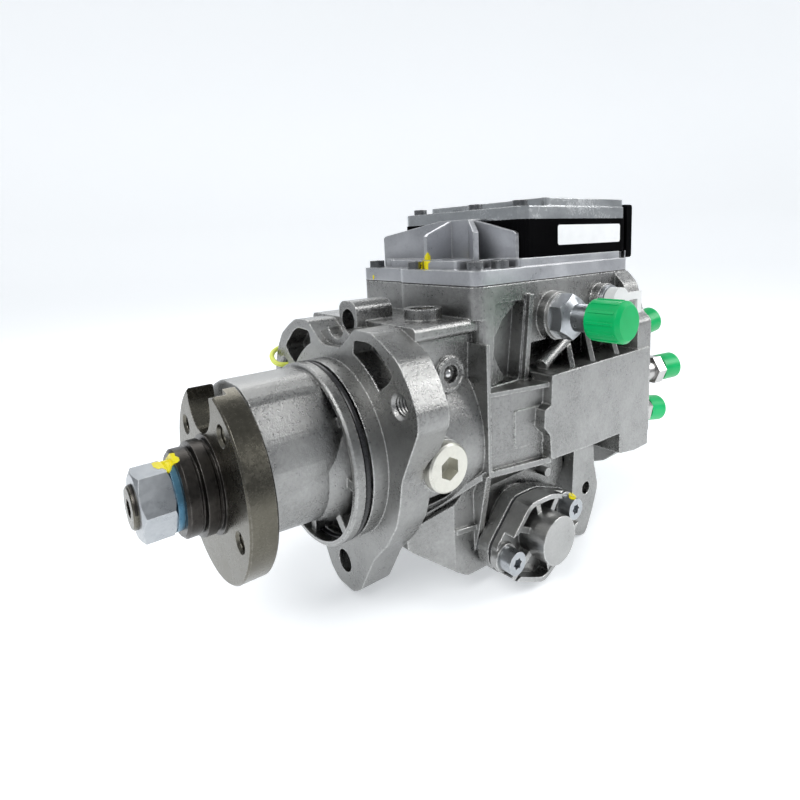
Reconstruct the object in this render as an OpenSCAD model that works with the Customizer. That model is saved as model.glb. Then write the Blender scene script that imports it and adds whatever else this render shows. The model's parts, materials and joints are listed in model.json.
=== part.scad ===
// Solenoid-controlled distributor injection pump for a diesel engine.
// The shaft axis runs along Y, with the drive end at -Y.
// The origin is on the shaft axis, in the face of the mounting flange.
// +X is the side with the return valve, and +Z is the side with the control unit.

/* [Flange and pilot] */
// Radius of the pilot spigot that centres the pump in the engine
pilot_r = 50; // [47:0.5:52]
// Length of the pilot spigot ahead of the flange face
pilot_len = 19; // [17:0.5:22]
// Wall of the pilot ring
pilot_wall = 3; // [2.5:0.5:5]
// Distance from the flange face to the back of the seal ring groove
groove_back = 9; // [7:0.5:10]
// Width of the seal ring groove
groove_w = 4.4; // [3.8:0.2:5]
// Cord diameter of the seal ring
pilot_cord_d = 3.6; // [3:0.1:3.8]
// Thickness of the mounting flange
flange_t = 19; // [15:1:20]
// Radius of the circle through the three flange holes
flange_circle_r = 71; // [69:0.5:74]
// Radius of the two tapped flange holes
flange_tap_r = 5.1; // [4.2:0.1:5.6]
// Radius of the plain flange hole
flange_bolt_r = 6.75; // [5.5:0.25:7.5]
// Width of the chamfer at the tapped holes
tap_chamfer = 1.6; // [0.5:0.1:2]
// Depth of the two pockets in the flange face
pocket_depth = 12; // [6:1:14]

/* [Nose] */
// Length of the bearing nose ahead of the flange face
nose_len = 55.5; // [54:0.5:56]
// Radius of the round lower side of the nose
nose_r = 34; // [33:0.5:36]
// Height of the flat top of the nose above the shaft axis
nose_top_z = 47; // [44:0.5:48]

/* [Housing] */
// Half width of the upper box
box_half_w = 56; // [54:0.5:58]
// Distance from the flange face to the front of the upper box
box_front_y = 60; // [58:0.5:62]
// Height of the joint face under the cover
box_top_z = 86; // [84:0.5:88]
// Height of the ledge on the neck behind the flange
neck_top_z = 69; // [66:0.5:72]
// Distance from the flange face to the rear face of the housing
rear_y = 207; // [204:1:212]
// Thickness of the rear flange
rear_flange_t = 17; // [14:1:20]
// Half width of the rear flange and of the side block
rear_half_w = 74; // [72:0.5:76]
// Outer radius of the round body about the shaft axis
body_r = 53; // [51:0.5:55]
// Radius of the main bore
main_bore_r = 42; // [42:0.25:43]
// Thickness of the side ribs
rib_t = 4; // [3:0.5:6]

/* [Drive end] */
// Radius of the drive shaft in its bearings
shaft_r = 12.5; // [12:0.1:12.9]
// Radius of the threaded end of the drive shaft
shaft_thread_r = 10; // [9:0.5:11]
// Length of the shaft end beyond the nut
shaft_end_len = 2.2; // [1:0.1:5]
// Radius of the drive hub
hub_r = 48.7; // [46:0.1:50]
// Thickness of the drive hub
hub_t = 13; // [11:0.5:15]
// Gap between the drive hub and the nose
hub_gap = 1; // [0.5:0.1:2]
// Radius of the circle through the hub holes
hub_circle_r = 38; // [36:0.5:39]
// Radius of the tapped hub holes
hub_tap_r = 4.25; // [3.4:0.05:5]
// Radius of the round bottom of the hub notch
notch_r = 17; // [14:0.5:18]
// Distance from the shaft axis to the bottom of the hub notch
notch_floor = 24.5; // [24:0.5:28]
// Radius of the large step of the hub collar
collar_r = 23; // [21:0.5:23.5]
// Length of the hub collar
collar_len = 16; // [13:0.5:17]
// Thickness of the lock washer
lock_washer_t = 2.75; // [2:0.25:4]
// Length of the shaft nut
nut_len = 14; // [12:0.5:20]
// Width across the flats of the shaft nut
nut_flats = 30; // [27:0.5:32]

/* [Front bearing and seal] */
// Outer radius of the front ball bearing
bearing_r = 26; // [25:0.25:26.5]
// Width of the front ball bearing
bearing_w = 15; // [13:0.5:16]
// Radius of a bearing ball
ball_r = 3.9; // [3.5:0.1:4.1]
// Number of bearing balls
ball_count = 9; // [7:1:10]
// Outer radius of the shaft seal
seal_r = 21; // [19:0.25:22]
// Width of the shaft seal
seal_w = 7; // [5:0.5:7.5]
// Outer radius of the rear bush
bush_r = 16; // [15:0.25:17]
// Length of the rear bush
bush_len = 20; // [16:1:22]

/* [Supply pump] */
// Distance from the flange face to the floor of the supply pump pocket
vane_y = 14; // [13:0.5:15]
// Radius of the supply pump pocket
vane_pocket_r = 30; // [29:0.5:32]
// Width of the eccentric ring
vane_w = 15; // [13:0.5:16]
// Radius of the supply pump rotor
rotor_r = 19; // [18:0.25:19.5]
// Radius of the bore of the eccentric ring
ring_bore_r = 21.5; // [21.25:0.25:22]
// Offset of the eccentric ring from the shaft axis
ring_offset = 2; // [0.5:0.1:2.2]
// Thickness of a vane
vane_t = 3; // [2:0.25:3.5]
// Thickness of the supply pump plate
vane_plate_t = 6; // [4:0.5:7]

/* [Cam drive] */
// Distance from the flange face to the axis of the timing piston
timing_y = 87; // [85:0.5:89]
// Radius of a cam roller
roller_r = 6; // [5:0.25:6.5]
// Length of a cam roller
roller_len = 13; // [11:0.5:14]
// Lift of the cam lobes
cam_lift = 2.4; // [1.6:0.1:2.8]
// Thickness of the cam plate under the lobes
cam_plate_t = 9; // [7:0.5:11]
// Radius of the cam plate
cam_plate_r = 35; // [34:0.5:36]
// Thickness of the roller ring
roller_ring_t = 16; // [15:0.5:18]
// Radius of the hole through the roller ring
roller_ring_bore_r = 18; // [17:0.25:18.5]
// Outer radius of the coupling jaws
jaw_r = 15.5; // [14:0.25:16]
// Number of teeth on the trigger wheel
trigger_teeth = 48; // [24:6:60]
// Radius of the plunger
plunger_r = 6; // [5:0.25:7]
// Offset of the two plunger springs from the axis
plunger_spring_x = 23; // [21:0.5:25]

/* [Timing device] */
// Distance from the shaft axis down to the axis of the timing piston
timing_drop = 57; // [56:0.5:58]
// Radius of the timing piston
timing_piston_r = 13; // [12:0.25:13.5]
// Half length of the timing bore
timing_half_len = 64; // [62:0.5:66]
// Length of the timing piston
timing_piston_len = 52; // [48:1:56]
// Travel of the timing piston
timing_travel = 6; // [3:0.5:7]
// Distance between the two bolts of a timing cover
timing_bolt_span = 54; // [52:0.5:56]
// Length of the round face of the timing cover beyond the gasket
timing_cover_len = 22; // [18:0.5:26]
// Turn of the timing cover about its own axis, in degrees
timing_tilt = 13; // [8:1:16]

/* [Distributor head] */
// Distance from the flange face to the front of the distributor head
head_front_y = 150; // [148:1:154]
// Thickness of the flange of the distributor head
head_flange_t = 12; // [10:0.5:14]
// Radius of the flange of the distributor head
head_flange_r = 54; // [53:0.5:56]
// Radius of the circle where the outlets leave the head
outlet_circle_r = 41; // [39:0.5:42]
// Outward lean of the outlets, in degrees
outlet_lean = 13; // [8:1:15]
// Length of an outlet holder beyond the head flange
outlet_len = 58; // [50:1:60]
// Radius of an outlet holder
outlet_r = 8.5; // [7:0.25:9]
// Radius of an outlet cap
outlet_cap_r = 10.2; // [9.5:0.1:11]
// Radius of the solenoid valve
solenoid_r = 19; // [16:0.5:21]
// Length of the solenoid valve beyond the head flange
solenoid_len = 46; // [36:1:50]

/* [Cover and control unit] */
// Thickness of the cover at its edge
cover_edge_t = 8; // [7:0.5:10]
// Height of the raised part of the cover above its edge
cover_step = 5; // [3:0.5:6]
// Height of the ribbed dome above the raised part of the cover
dome_h = 23.5; // [18:0.5:26]
// Thickness of the dome ribs
dome_rib_t = 3; // [2:0.25:5]
// Width of the control unit
ecu_w = 113; // [108:1:116]
// Length of the control unit
ecu_len = 110; // [106:1:112]
// Height of the black case of the control unit
ecu_case_h = 22; // [19:0.5:24]
// Thickness of the edge of the lid
ecu_lid_t = 7.5; // [6:0.5:9]
// Height of the raised part of the lid
ecu_plateau_h = 5; // [2:0.5:6]

/* [Side fittings] */
// Distance from the flange face to the axis of the return valve
return_y = 121; // [117:1:123]
// Height of the return valve above the shaft axis
return_z = 64; // [62.5:0.5:67]
// Width across the flats of the return valve
return_flats = 24; // [22:0.5:26]
// Length of the plain tube of the return valve
return_tube_len = 14; // [10:0.5:18]
// Radius of the cap on the return valve
return_cap_r = 11.75; // [11:0.25:13.5]
// Length of the cap on the return valve
return_cap_len = 21; // [18:0.5:28]
// Distance from the flange face to the axis of the fuel inlet
inlet_y = 172; // [168:1:176]
// Height of the fuel inlet above the shaft axis
inlet_z = 67.5; // [66:0.5:71]
// Radius of the head of the side plug
side_plug_r = 13; // [11:0.25:14]
// Width across the flats of the socket in the side plug
side_plug_socket = 11; // [8:0.5:12]
// Radius of a cover bolt head
bolt_head_r = 5; // [4.5:0.1:6]

/* [Fits] */
// Radial clearance of a running fit
run_gap = 0.03; // [0.02:0.01:0.08]
// Radial clearance of a seated piece
seat_gap = 0.03; // [0.02:0.01:0.05]
// Clearance between pieces that pass each other
pass_gap = 0.4; // [0.3:0.05:0.6]

/* [Hidden] */
$fn = 96;

// Places along the shaft, counted from the flange face
nose_y = -nose_len;
hub_back_y = nose_y - hub_gap;
hub_front_y = hub_back_y - hub_t;
collar_front_y = hub_front_y - collar_len;
washer_front_y = collar_front_y - lock_washer_t;
nut_front_y = washer_front_y - nut_len;
shaft_end_y = nut_front_y - shaft_end_len;
seal_y = nose_y + 1.5;
bearing_y = seal_y + seal_w + 1;
bearing_back_y = bearing_y + bearing_w;
bush_y = vane_y - bush_len - 6;
vane_plate_y = vane_y + vane_w;
main_bore_y = vane_plate_y + vane_plate_t;
trigger_y = main_bore_y + 5;
trigger_t = 3.5;
shaft_head_y = trigger_y + trigger_t + 4;
shaft_head_t = 6;

// Cam drive places
ring_front_y = timing_y - 12;
ring_back_y = ring_front_y + roller_ring_t;
roller_y = ring_back_y - roller_r / 2;
lobe_top_y = roller_y + roller_r + 0.3;
cam_face_y = lobe_top_y + cam_lift;
cam_back_y = cam_face_y + cam_plate_t;
roller_count = 3;
lobe_count = 6;
roller_mid_r = 27;
jaw_inner_r = 8;
jaw_angle = 50;
cross_angle = 34;
cam_jaw_y = shaft_head_y + shaft_head_t + cam_lift + 6;
shaft_jaw_end_y = cam_face_y - cam_lift - 8;
cross_y = cam_jaw_y + 4;
cross_t = 10;
foot_r = 12;
foot_t = 5;
bridge_y = cam_back_y + foot_t + pass_gap;
bridge_t = 4.5;
guide_pin_r = 3;

// Bearing places
ball_circle_r = (bearing_r + shaft_r) / 2;
race_gap = 0.05;
hub_seat_r = shaft_r - 0.5;
collar_bore_r = shaft_thread_r + 0.5;

// Timing device places
timing_z = -timing_drop;
gasket_t = 1.5;
timing_face_r = 14;
timing_bolt_r = 4;
timing_bolt_head_r = 6.5;
piston_seat_x = timing_piston_len / 2;

// Housing places
hole_x = flange_circle_r * cos(30);
hole_z = flange_circle_r * sin(30);
chamber_half_w = 43;
chamber_front_y = box_front_y + 8;
chamber_rear_y = rear_y - rear_flange_t - 8;
chamber_floor_z = box_top_z - 28;
side_top_z = 34;
side_low_z = -17;
side_x = rear_half_w - 6;
block_front_y = 97;
rear_inner_y = rear_y - rear_flange_t;
head_back_y = rear_y + head_flange_t;
head_bolt_circle_r = head_flange_r - 5.5;

// Cover and control unit places
cover_gasket_t = 0.6;
cover_z = box_top_z + cover_gasket_t;
cover_top_z = cover_z + cover_edge_t;
raised_z = cover_top_z + cover_step;
cover_front_y = box_front_y;
ear_front_y = box_front_y - 4;
ecu_x = -1.5;
ecu_y = rear_y - ecu_len;
ecu_top_z = raised_z + ecu_case_h;
lid_top_z = ecu_top_z + ecu_lid_t;
cover_bolt_r = 2.5;
head_gap = 0.5;
cover_bolt_x = box_half_w - 6.5;
cover_bolts_at = [
    [-1, ear_front_y + 6], [box_half_w - 10, ear_front_y + 11], [-cover_bolt_x, cover_front_y + 7],
    [-cover_bolt_x, rear_y - 8], [cover_bolt_x, rear_y - 8], [cover_bolt_x, cover_front_y + 23]
];

// A straight solid along Y, from a drawing in X and Z
module along_y(y0, y1) {
    translate([0, y1, 0])
        rotate([90, 0, 0])
            linear_extrude(y1 - y0)
                children();
}

// A straight solid along X, from a drawing in Y and Z
module along_x(x0, x1) {
    translate([x0, 0, 0])
        rotate([90, 0, 90])
            linear_extrude(x1 - x0)
                children();
}

// A turned solid about the shaft axis, from points of radius and Y
module turned(points) {
    rotate([-90, 0, 0])
        rotate_extrude()
            polygon(points);
}

module rod_y(r, y0, y1, x = 0, z = 0) {
    translate([x, y0, z])
        rotate([-90, 0, 0])
            cylinder(r = r, h = y1 - y0);
}

module rod_x(r, x0, x1, y = 0, z = 0) {
    translate([x0, y, z])
        rotate([0, 90, 0])
            cylinder(r = r, h = x1 - x0);
}

module rod_z(r, z0, z1, x = 0, y = 0) {
    translate([x, y, z0])
        cylinder(r = r, h = z1 - z0);
}

module tube_y(r_out, r_in, y0, y1) {
    difference() {
        rod_y(r_out, y0, y1);
        rod_y(r_in, y0 - 1, y1 + 1);
    }
}

// A hexagonal rod along Y, given by its width across the flats
module hex_y(flats, y0, y1) {
    translate([0, y0, 0])
        rotate([-90, 0, 0])
            cylinder(r = flats / sqrt(3), h = y1 - y0, $fn = 6);
}

module hex_x(flats, x0, x1, y = 0, z = 0) {
    translate([x0, y, z])
        rotate([0, 90, 0])
            cylinder(r = flats / sqrt(3), h = x1 - x0, $fn = 6);
}

// The part of a ring between two radii that lies within an angle
module ring_sector(r0, r1, angle, turn = 0) {
    reach = 2 * r1;
    half = angle / 2;
    rotate(turn)
        intersection() {
            difference() {
                circle(r = r1);
                circle(r = r0);
            }
            polygon([[0, 0], reach * [cos(half), -sin(half)], reach * [cos(half), sin(half)]]);
        }
}

// The six-lobed drive recess of a screw
module star(r) {
    polygon([for (i = [0 : 11]) (i % 2 == 0 ? r : 0.72 * r) * [cos(30 * i), sin(30 * i)]]);
}

function unit(v) = v / norm(v);

// A point on the curve that rounds the corner b between a and c
function bend(a, b, c, s) = (1 - s) * (1 - s) * a + 2 * s * (1 - s) * b + s * s * c;

// An outline with each corner rounded over the given length
function soften(p, reach, steps = 3) = [
    for (i = [0 : len(p) - 1])
        let (
            before = p[(i + len(p) - 1) % len(p)],
            here = p[i],
            after = p[(i + 1) % len(p)],
            t0 = min(reach, 0.45 * norm(before - here)),
            t1 = min(reach, 0.45 * norm(after - here)),
            start = here + t0 * unit(before - here),
            end = here + t1 * unit(after - here)
        )
        for (k = [0 : steps])
            bend(start, here, end, k / steps)
];

function flipped(p) = [for (i = [len(p) - 1 : -1 : 0]) [-p[i][0], p[i][1]]];

// Both halves of an outline that is the same on the left and the right
function both_sides(p) = concat(p, flipped(p));

module rounded_box(x0, x1, y0, y1, z0, z1, r) {
    translate([0, 0, z0])
        linear_extrude(z1 - z0)
            polygon(soften([[x0, y0], [x1, y0], [x1, y1], [x0, y1]], r, 5));
}

// Housing: the die-cast body with its flange, nose, box and side walls
flange_side = [
    [hole_x - 36.5, hole_z + 33], [hole_x - 20.5, hole_z + 32.5],
    [hole_x - 11, hole_z + 28], [hole_x, hole_z + 21.5], [hole_x + 7.5, hole_z + 11.5],
    [hole_x + 13.5, hole_z - 1.5], [hole_x + 13.5, hole_z - 10],
    [pilot_r + 10.5, -2.5], [pilot_r + 8, -16], [pilot_r + 4.5, -28],
    [pilot_r - 5, -42.5], [pilot_r - 19, -57],
    [16.5, -flange_circle_r - 10.5], [8, -flange_circle_r - 16]
];
notch_half = [[9.5, pilot_r + 6.5], [21, hole_z + 29]];
flange_outline = soften(both_sides(concat(notch_half, flange_side)), 3);

module flange_blank() {
    along_y(0, flange_t)
        polygon(flange_outline);
}

// The right pocket of the flange face; the left one is its mirror image
module flange_pocket() {
    along_y(-1, pocket_depth)
        difference() {
            polygon(soften([
                [hole_x - 37.5, hole_z + 27], [hole_x - 24, hole_z + 27.5],
                [hole_x - 17.5, hole_z + 25.5], [hole_x - 4, hole_z + 14.5],
                [hole_x - 7, hole_z + 10], [hole_x - 20, hole_z + 2], [22, 50]
            ], 3));
            circle(r = pilot_r + 10);
        }
}

// The three flange holes, as tools to cut with
module flange_hole_tools() {
    for (side = [-1, 1]) {
        rod_y(flange_tap_r, -1, flange_t + 20, side * hole_x, hole_z);
        translate([side * hole_x, -0.01, hole_z])
            rotate([-90, 0, 0])
                cylinder(r1 = flange_tap_r + tap_chamfer, r2 = flange_tap_r, h = tap_chamfer);
    }
    rod_y(flange_bolt_r, -1, flange_t + 1, 0, -flange_circle_r);
}

pilot_front_y = -pilot_len;
pilot_inner_r = pilot_r - pilot_wall;
pilot_floor_y = -5;
groove_floor_r = pilot_r - pilot_cord_d - 0.1;

module pilot_ring() {
    turned([
        [pilot_inner_r, pilot_front_y], [pilot_r - 1, pilot_front_y], [pilot_r, pilot_front_y + 1],
        [pilot_r, 0], [pilot_inner_r, 0]
    ]);
    rod_y(pilot_r - 1, pilot_floor_y, 0);
}

module pilot_webs() {
    for (turn = [-128, -95, -48, -8, 38, 142, 188])
        along_y(pilot_front_y + 3, pilot_floor_y)
            rotate(turn)
                translate([nose_r - 4, -2.5])
                    square([pilot_inner_r - nose_r + 5, 5]);
}

nose_section = soften([
    [-27, nose_top_z - 6], [-12, nose_top_z], [10, nose_top_z], [23, nose_top_z - 6],
    [32, 24], [nose_r + 1, 8], [nose_r - 2, -8], [-nose_r + 2, -8],
    [-nose_r - 1, 8], [-33, 24]
], 4);

module nose_blank() {
    along_y(nose_y, pilot_floor_y)
        polygon(nose_section);
    turned([
        [0, nose_y], [nose_r - 3, nose_y], [nose_r - 1.5, nose_y + 1.5],
        [nose_r, -24], [nose_r + 4, -14], [nose_r + 5, pilot_floor_y], [0, pilot_floor_y]
    ]);
}

neck_half_w = box_half_w - 7;
neck_section = soften([
    [-neck_half_w + 2, 20], [-neck_half_w, neck_top_z - 8], [-neck_half_w + 3, neck_top_z],
    [neck_half_w - 3, neck_top_z], [neck_half_w, neck_top_z - 8], [neck_half_w - 2, 20],
    [neck_half_w - 4, -28], [30, -52], [-30, -52], [-neck_half_w + 4, -28]
], 5);
ledge_x = box_half_w - 5;

module neck_blank() {
    along_y(flange_t - 1, box_front_y + 4)
        polygon(neck_section);
    for (side = [-1, 1])
        along_y(flange_t - 1, box_front_y + 4)
            polygon(soften([
                [side * 30, neck_top_z - 8], [side * ledge_x, neck_top_z - 8],
                [side * (ledge_x + 1.5), neck_top_z - 6], [side * (ledge_x + 1.5), neck_top_z - 2],
                [side * ledge_x, neck_top_z], [side * 30, neck_top_z]
            ], 1));
}

// The upper box under the cover, with rounded upright corners
module box_blank() {
    rounded_box(-box_half_w, box_half_w, box_front_y, rear_y - 2, 22, neck_top_z, 6);
    translate([0, 0, neck_top_z - 1])
        linear_extrude(box_top_z - neck_top_z + 1)
            polygon(cover_outline);
}

// The outline of the joint between the housing and its cover, with the ear at the front
cover_outline = soften([
    [-box_half_w, cover_front_y], [-11, cover_front_y], [-9, ear_front_y],
    [box_half_w - 3, ear_front_y], [box_half_w, ear_front_y + 5],
    [box_half_w, rear_y - 1], [-box_half_w, rear_y - 1]
], 4, 4);

// The round body about the shaft axis and the bulged side walls
bulge_section = soften([
    [-rear_half_w + 8, side_low_z], [-rear_half_w + 8, 18], [-box_half_w, 30],
    [box_half_w, 30], [box_half_w + 4, 18], [box_half_w + 4, side_low_z], [40, -42], [-40, -42]
], 8);

// Radius of the round body where the box stands on it
waist_r = body_r + 7;

module body_blank() {
    turned([
        [0, flange_t - 1], [body_r, flange_t - 1], [waist_r, box_front_y - 3],
        [waist_r, block_front_y], [body_r + 2, block_front_y + 30], [body_r + 2, rear_inner_y + 1],
        [0, rear_inner_y + 1]
    ]);
    along_y(box_front_y + 2, rear_inner_y + 1)
        polygon(bulge_section);
}

module side_block_blank() {
    along_x(box_half_w - 14, rear_half_w + 1)
        polygon(soften([
            [block_front_y - 1, side_low_z + 1.5], [block_front_y - 2, -1], [block_front_y - 7.5, 5],
            [block_front_y - 6.5, 15], [block_front_y - 1, 17], [block_front_y, side_top_z],
            [rear_y - 3, side_top_z], [rear_y - 3, side_low_z - 19], [rear_inner_y - 3, side_low_z - 19],
            [rear_inner_y - 22, side_low_z - 16], [rear_inner_y - 22, side_low_z - 2],
            [block_front_y + 38, side_low_z - 1]
        ], 1));
}

rear_outline = soften(both_sides([
    [box_half_w - 1, box_top_z], [box_half_w + 7, box_top_z - 8.5], [box_half_w + 12, 58],
    [rear_half_w, 53], [rear_half_w, -28], [rear_half_w - 7, -36], [50, -52], [22, -63]
]), 3);

module rear_flange_blank() {
    along_y(rear_inner_y, rear_y)
        polygon(rear_outline);
}

// The cross housing of the timing piston, with a pad for the cover at each end
pad_points = timing_bolt_span / 54 * [
    [-33.5, 0], [-33, -10], [-28, -17.5], [-14, -25], [0, -31], [14, -24], [30, -10], [37, -2],
    [38, 6], [33, 12.5], [8, 22], [-11.5, 22.5]
];

module timing_pad(inset) {
    polygon(soften([for (q = pad_points) q - inset * unit(q)], 4));
}

module at_timing() {
    translate([timing_y, timing_z])
        children();
}

module timing_blank() {
    rod_x(timing_piston_r + 8, -timing_half_len, timing_half_len, timing_y, timing_z);
    for (side = [-1, 1])
        along_x(side > 0 ? timing_half_len - 8 : -timing_half_len,
                side > 0 ? timing_half_len : -timing_half_len + 8)
            at_timing()
                timing_pad(0);
    sump();
}

// The sump below the round body, narrower at the front
module sump() {
    half_w = timing_half_len - 12;
    intersection() {
        along_x(-half_w, half_w)
            polygon(soften([
                [flange_t - 1, -45], [flange_t - 1, -56], [timing_y - 38, -78],
                [timing_y + 14, -80], [timing_y + 34, -62], [timing_y + 50, -40],
                [timing_y + 50, -19], [box_front_y - 3, -19], [box_front_y - 17, -30]
            ], 3));
        translate([0, 0, -90])
            linear_extrude(80)
                polygon([
                    [-38, 0], [38, 0], [38, flange_t], [half_w, flange_t + 21],
                    [half_w, rear_y], [-half_w, rear_y], [-half_w, flange_t + 21], [-38, flange_t]
                ]);
    }
    // Bead along the upper edge
    along_x(half_w - 2, half_w + 2)
        polygon([[flange_t + 21, -46], [timing_y - 21, -50], [timing_y - 21, -53], [flange_t + 21, -49]]);
}

// The rear lug below the side block, with its hole along X
lug_y = timing_y + 65;
lug_z = timing_z;
lug_top_z = side_low_z - 5;

module lug_blank() {
    along_x(box_half_w - 12, box_half_w + 4)
        polygon(soften([
            [lug_y - 13, lug_top_z], [lug_y + 8, lug_top_z], [lug_y + 9, lug_z + 16],
            [lug_y + 14, lug_z - 2.5], [lug_y + 8, lug_z - 18], [lug_y - 0.5, lug_z - 33.5],
            [lug_y - 12, lug_z - 30.5], [lug_y - 16, lug_z - 13]
        ], 4));
    along_x(20, box_half_w - 11)
        polygon([[lug_y - 18, lug_top_z], [lug_y - 2, lug_top_z - 4], [lug_y - 8, lug_z + 7],
            [lug_y - 16, lug_z + 7]]);
    rod_x(2.8, box_half_w - 16, box_half_w + 4, block_front_y + 14.5, lug_z + 24);
}

// The eye on top of the flange, the boss of the top plug and the side bosses
eye_z = neck_top_z;
neck_boss_x = 28;
neck_boss_y = 43;
neck_boss_r = 10.5;
ball_plug_y = 43;
ball_plug_z = 41;
ball_plug_r = 9.8;
side_plug_y = 27;
side_plug_z = -2.5;
side_plug_x = 60;
side_plug_head_t = 5;

eye_bore_r = 6.5;
eye_channel_r = 9;
plug_bead_x = neck_half_w + 1;

module boss_blanks() {
    // Saddle under the eye, behind the notch of the flange
    along_y(4, flange_t)
        polygon([[-20, 50], [-20, neck_top_z - 7], [-8, neck_top_z - 3], [8, neck_top_z - 3],
            [20, neck_top_z - 7], [20, 50]]);
    along_y(12, 36)
        polygon(soften([[-9, 56], [-9, eye_z + 8], [-5, eye_z + 11], [5, eye_z + 11],
            [9, eye_z + 8], [9, 56]], 2));
    rod_z(neck_boss_r, neck_top_z - 6, neck_top_z + 6, neck_boss_x, neck_boss_y);
    rod_x(ball_plug_r, 20, plug_bead_x, ball_plug_y, ball_plug_z);
    difference() {
        rod_x(ball_plug_r - 0.6, plug_bead_x - 1, plug_bead_x + 1, ball_plug_y, ball_plug_z);
        rod_x(ball_plug_r - 2.2, plug_bead_x, plug_bead_x + 2, ball_plug_y, ball_plug_z);
    }
    rod_x(side_plug_r + 1, 20, side_plug_x, side_plug_y, side_plug_z);
    rod_x(return_flats / sqrt(3) + 1, box_half_w - 2, box_half_w + 6, return_y, return_z);
    rod_x(12, box_half_w - 2, box_half_w + 6, inlet_y, inlet_z);
}

// The ribs of the right side
rib_x = box_half_w + 7;
front_rib_t = 2.5;
wall_front_y = box_front_y - 2;
wall_low_z = side_low_z + 1;
wall_top_z = box_half_w / 2;

// The plan of the side wall that flares out from the front corner to the side block
function flare(front_x, back_x) = [
    [40, wall_front_y], [front_x, wall_front_y], [back_x, block_front_y + 1], [40, block_front_y + 1]
];

module level_plate(z0, z1, plan) {
    translate([0, 0, z0])
        linear_extrude(z1 - z0)
            polygon(plan);
}

// A flat bar with one edge on the line from a to b
module edge_bar(a, b, depth, t) {
    run = norm([b[0] - a[0], b[1] - a[1]]);
    translate(a)
        rotate([0, -atan2(b[2] - a[2], run), atan2(b[1] - a[1], b[0] - a[0])])
            cube([norm(b - a), depth, t]);
}

module round_bar(a, b, r) {
    v = b - a;
    translate(a)
        rotate([0, acos(v[2] / norm(v)), atan2(v[1], v[0])])
            cylinder(r = r, h = norm(v));
}

module side_ribs() {
    // Upright rib at the front corner of the box
    along_x(box_half_w - 8, rib_x)
        polygon([[box_front_y - 3, side_low_z], [box_front_y - 3 + front_rib_t, side_low_z],
            [box_front_y - 3 + front_rib_t, 56], [box_front_y - 3, 56]]);
    // Slanted frame of the pocket in the box wall
    along_x(box_half_w - 4, box_half_w + 3)
        polygon([[block_front_y - 6, 24], [block_front_y - 2.5, 24],
            [block_front_y + 4, box_top_z - 7], [block_front_y + 0.5, box_top_z - 7]]);
    // Flared side wall with its upper and lower rib and a milled pad
    level_plate(wall_low_z, wall_top_z, flare(rib_x - 2.5, side_x + 1));
    level_plate(wall_top_z - 1, wall_top_z + 1.5, flare(rib_x, side_x + 5));
    level_plate(side_low_z - 1.5, wall_low_z + 1, flare(rib_x, side_x + 5));
    intersection() {
        level_plate(wall_low_z, wall_top_z, flare(rib_x - 1.7, side_x + 1.8));
        along_x(40, rear_half_w)
            polygon(soften([[block_front_y - 21, -6], [block_front_y, -6], [block_front_y, 16],
                [block_front_y - 21, 16]], 2));
    }
    corner_ribs();
}

// The slanted ribs between the flange and the front corner of the box
module corner_ribs() {
    edge_bar([33, flange_t - 2, -46.5], [rib_x - 1.5, wall_front_y, side_low_z - 1], 12, 3.5);
    along_y(box_front_y - 5, box_front_y - 5 + rib_t)
        polygon([[30, -75], [49.5, -74], [55.5, -53], [rib_x, side_low_z], [30, side_low_z]]);
}

web_rise = 14;

// The slanting webs above the side block, drawn along their length from the outer end
module block_webs() {
    for (y = [return_y - 1, return_y + 20, return_y + 47])
        translate([rear_half_w - 2, y, 0])
            rotate(135)
                along_y(-rib_t / 2 + 0.5, rib_t / 2 - 0.5)
                    polygon([[0, side_top_z - 4], [36, side_top_z - 4], [36, side_top_z + web_rise],
                        [21, side_top_z + web_rise], [0, side_top_z]]);
    round_bar([box_half_w + 1.5, return_y + 13, side_top_z + 15], [box_half_w + 4.5, return_y - 16, side_top_z + 2], 4);
    // Raised floor in the pocket of the box wall, with a zigzag edge
    along_x(box_half_w - 10, box_half_w - 3)
        polygon([[66, 28], [81.5, 31.8], [76.7, 38.5], [72.1, 47.3], [73.1, 56.1], [80.6, 66.2],
            [92.2, 74.8], [70, 78]]);
}

// The hollows of the right side
module side_recesses() {
    // Pocket in the box wall behind the upright rib
    along_x(box_half_w - 9, box_half_w + 10)
        polygon(soften([[box_front_y + 8, wall_top_z + 2], [block_front_y - 7, wall_top_z + 2],
            [block_front_y - 1, box_top_z - 10], [box_front_y + 12, box_top_z - 10]], 1.5));
    // Open shelf above the side block
    along_x(box_half_w - 8, rear_half_w + 10)
        polygon(soften([[block_front_y + 2, side_top_z], [rear_inner_y - 2, side_top_z],
            [rear_inner_y - 2, side_top_z + web_rise + 2], [block_front_y + 2, side_top_z + web_rise + 2]], 4));
    // Slot beside the flange
    along_x(box_half_w - 14, rear_half_w)
        polygon(soften([[21, -31], [36, -27], [40, -24], [38, -22], [22, -24]], 1.5));
}

// The bores, from the shaft seal at the front to the seat of the head at the rear
module shaft_bores() {
    rod_y(seal_r + seat_gap, nose_y - 1, bearing_y);
    rod_y(bearing_r + seat_gap, bearing_y, bearing_back_y);
    rod_y(bush_r + 2, bearing_back_y - 1, bush_y);
    rod_y(bush_r + seat_gap, bush_y - 1, vane_y + 1);
    rod_y(vane_pocket_r + seat_gap, vane_y, main_bore_y + 1);
    rod_y(main_bore_r, main_bore_y, rear_y + 1);
}

module inner_chamber() {
    rounded_box(-chamber_half_w, chamber_half_w, chamber_front_y, chamber_rear_y,
        chamber_floor_z, box_top_z + 1, 6);
    // Window between the chamber and the main bore, for the sensor lead
    rounded_box(-14, 14, main_bore_y + 1, timing_y - 13, 30, chamber_floor_z + 6, 3);
}

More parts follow.
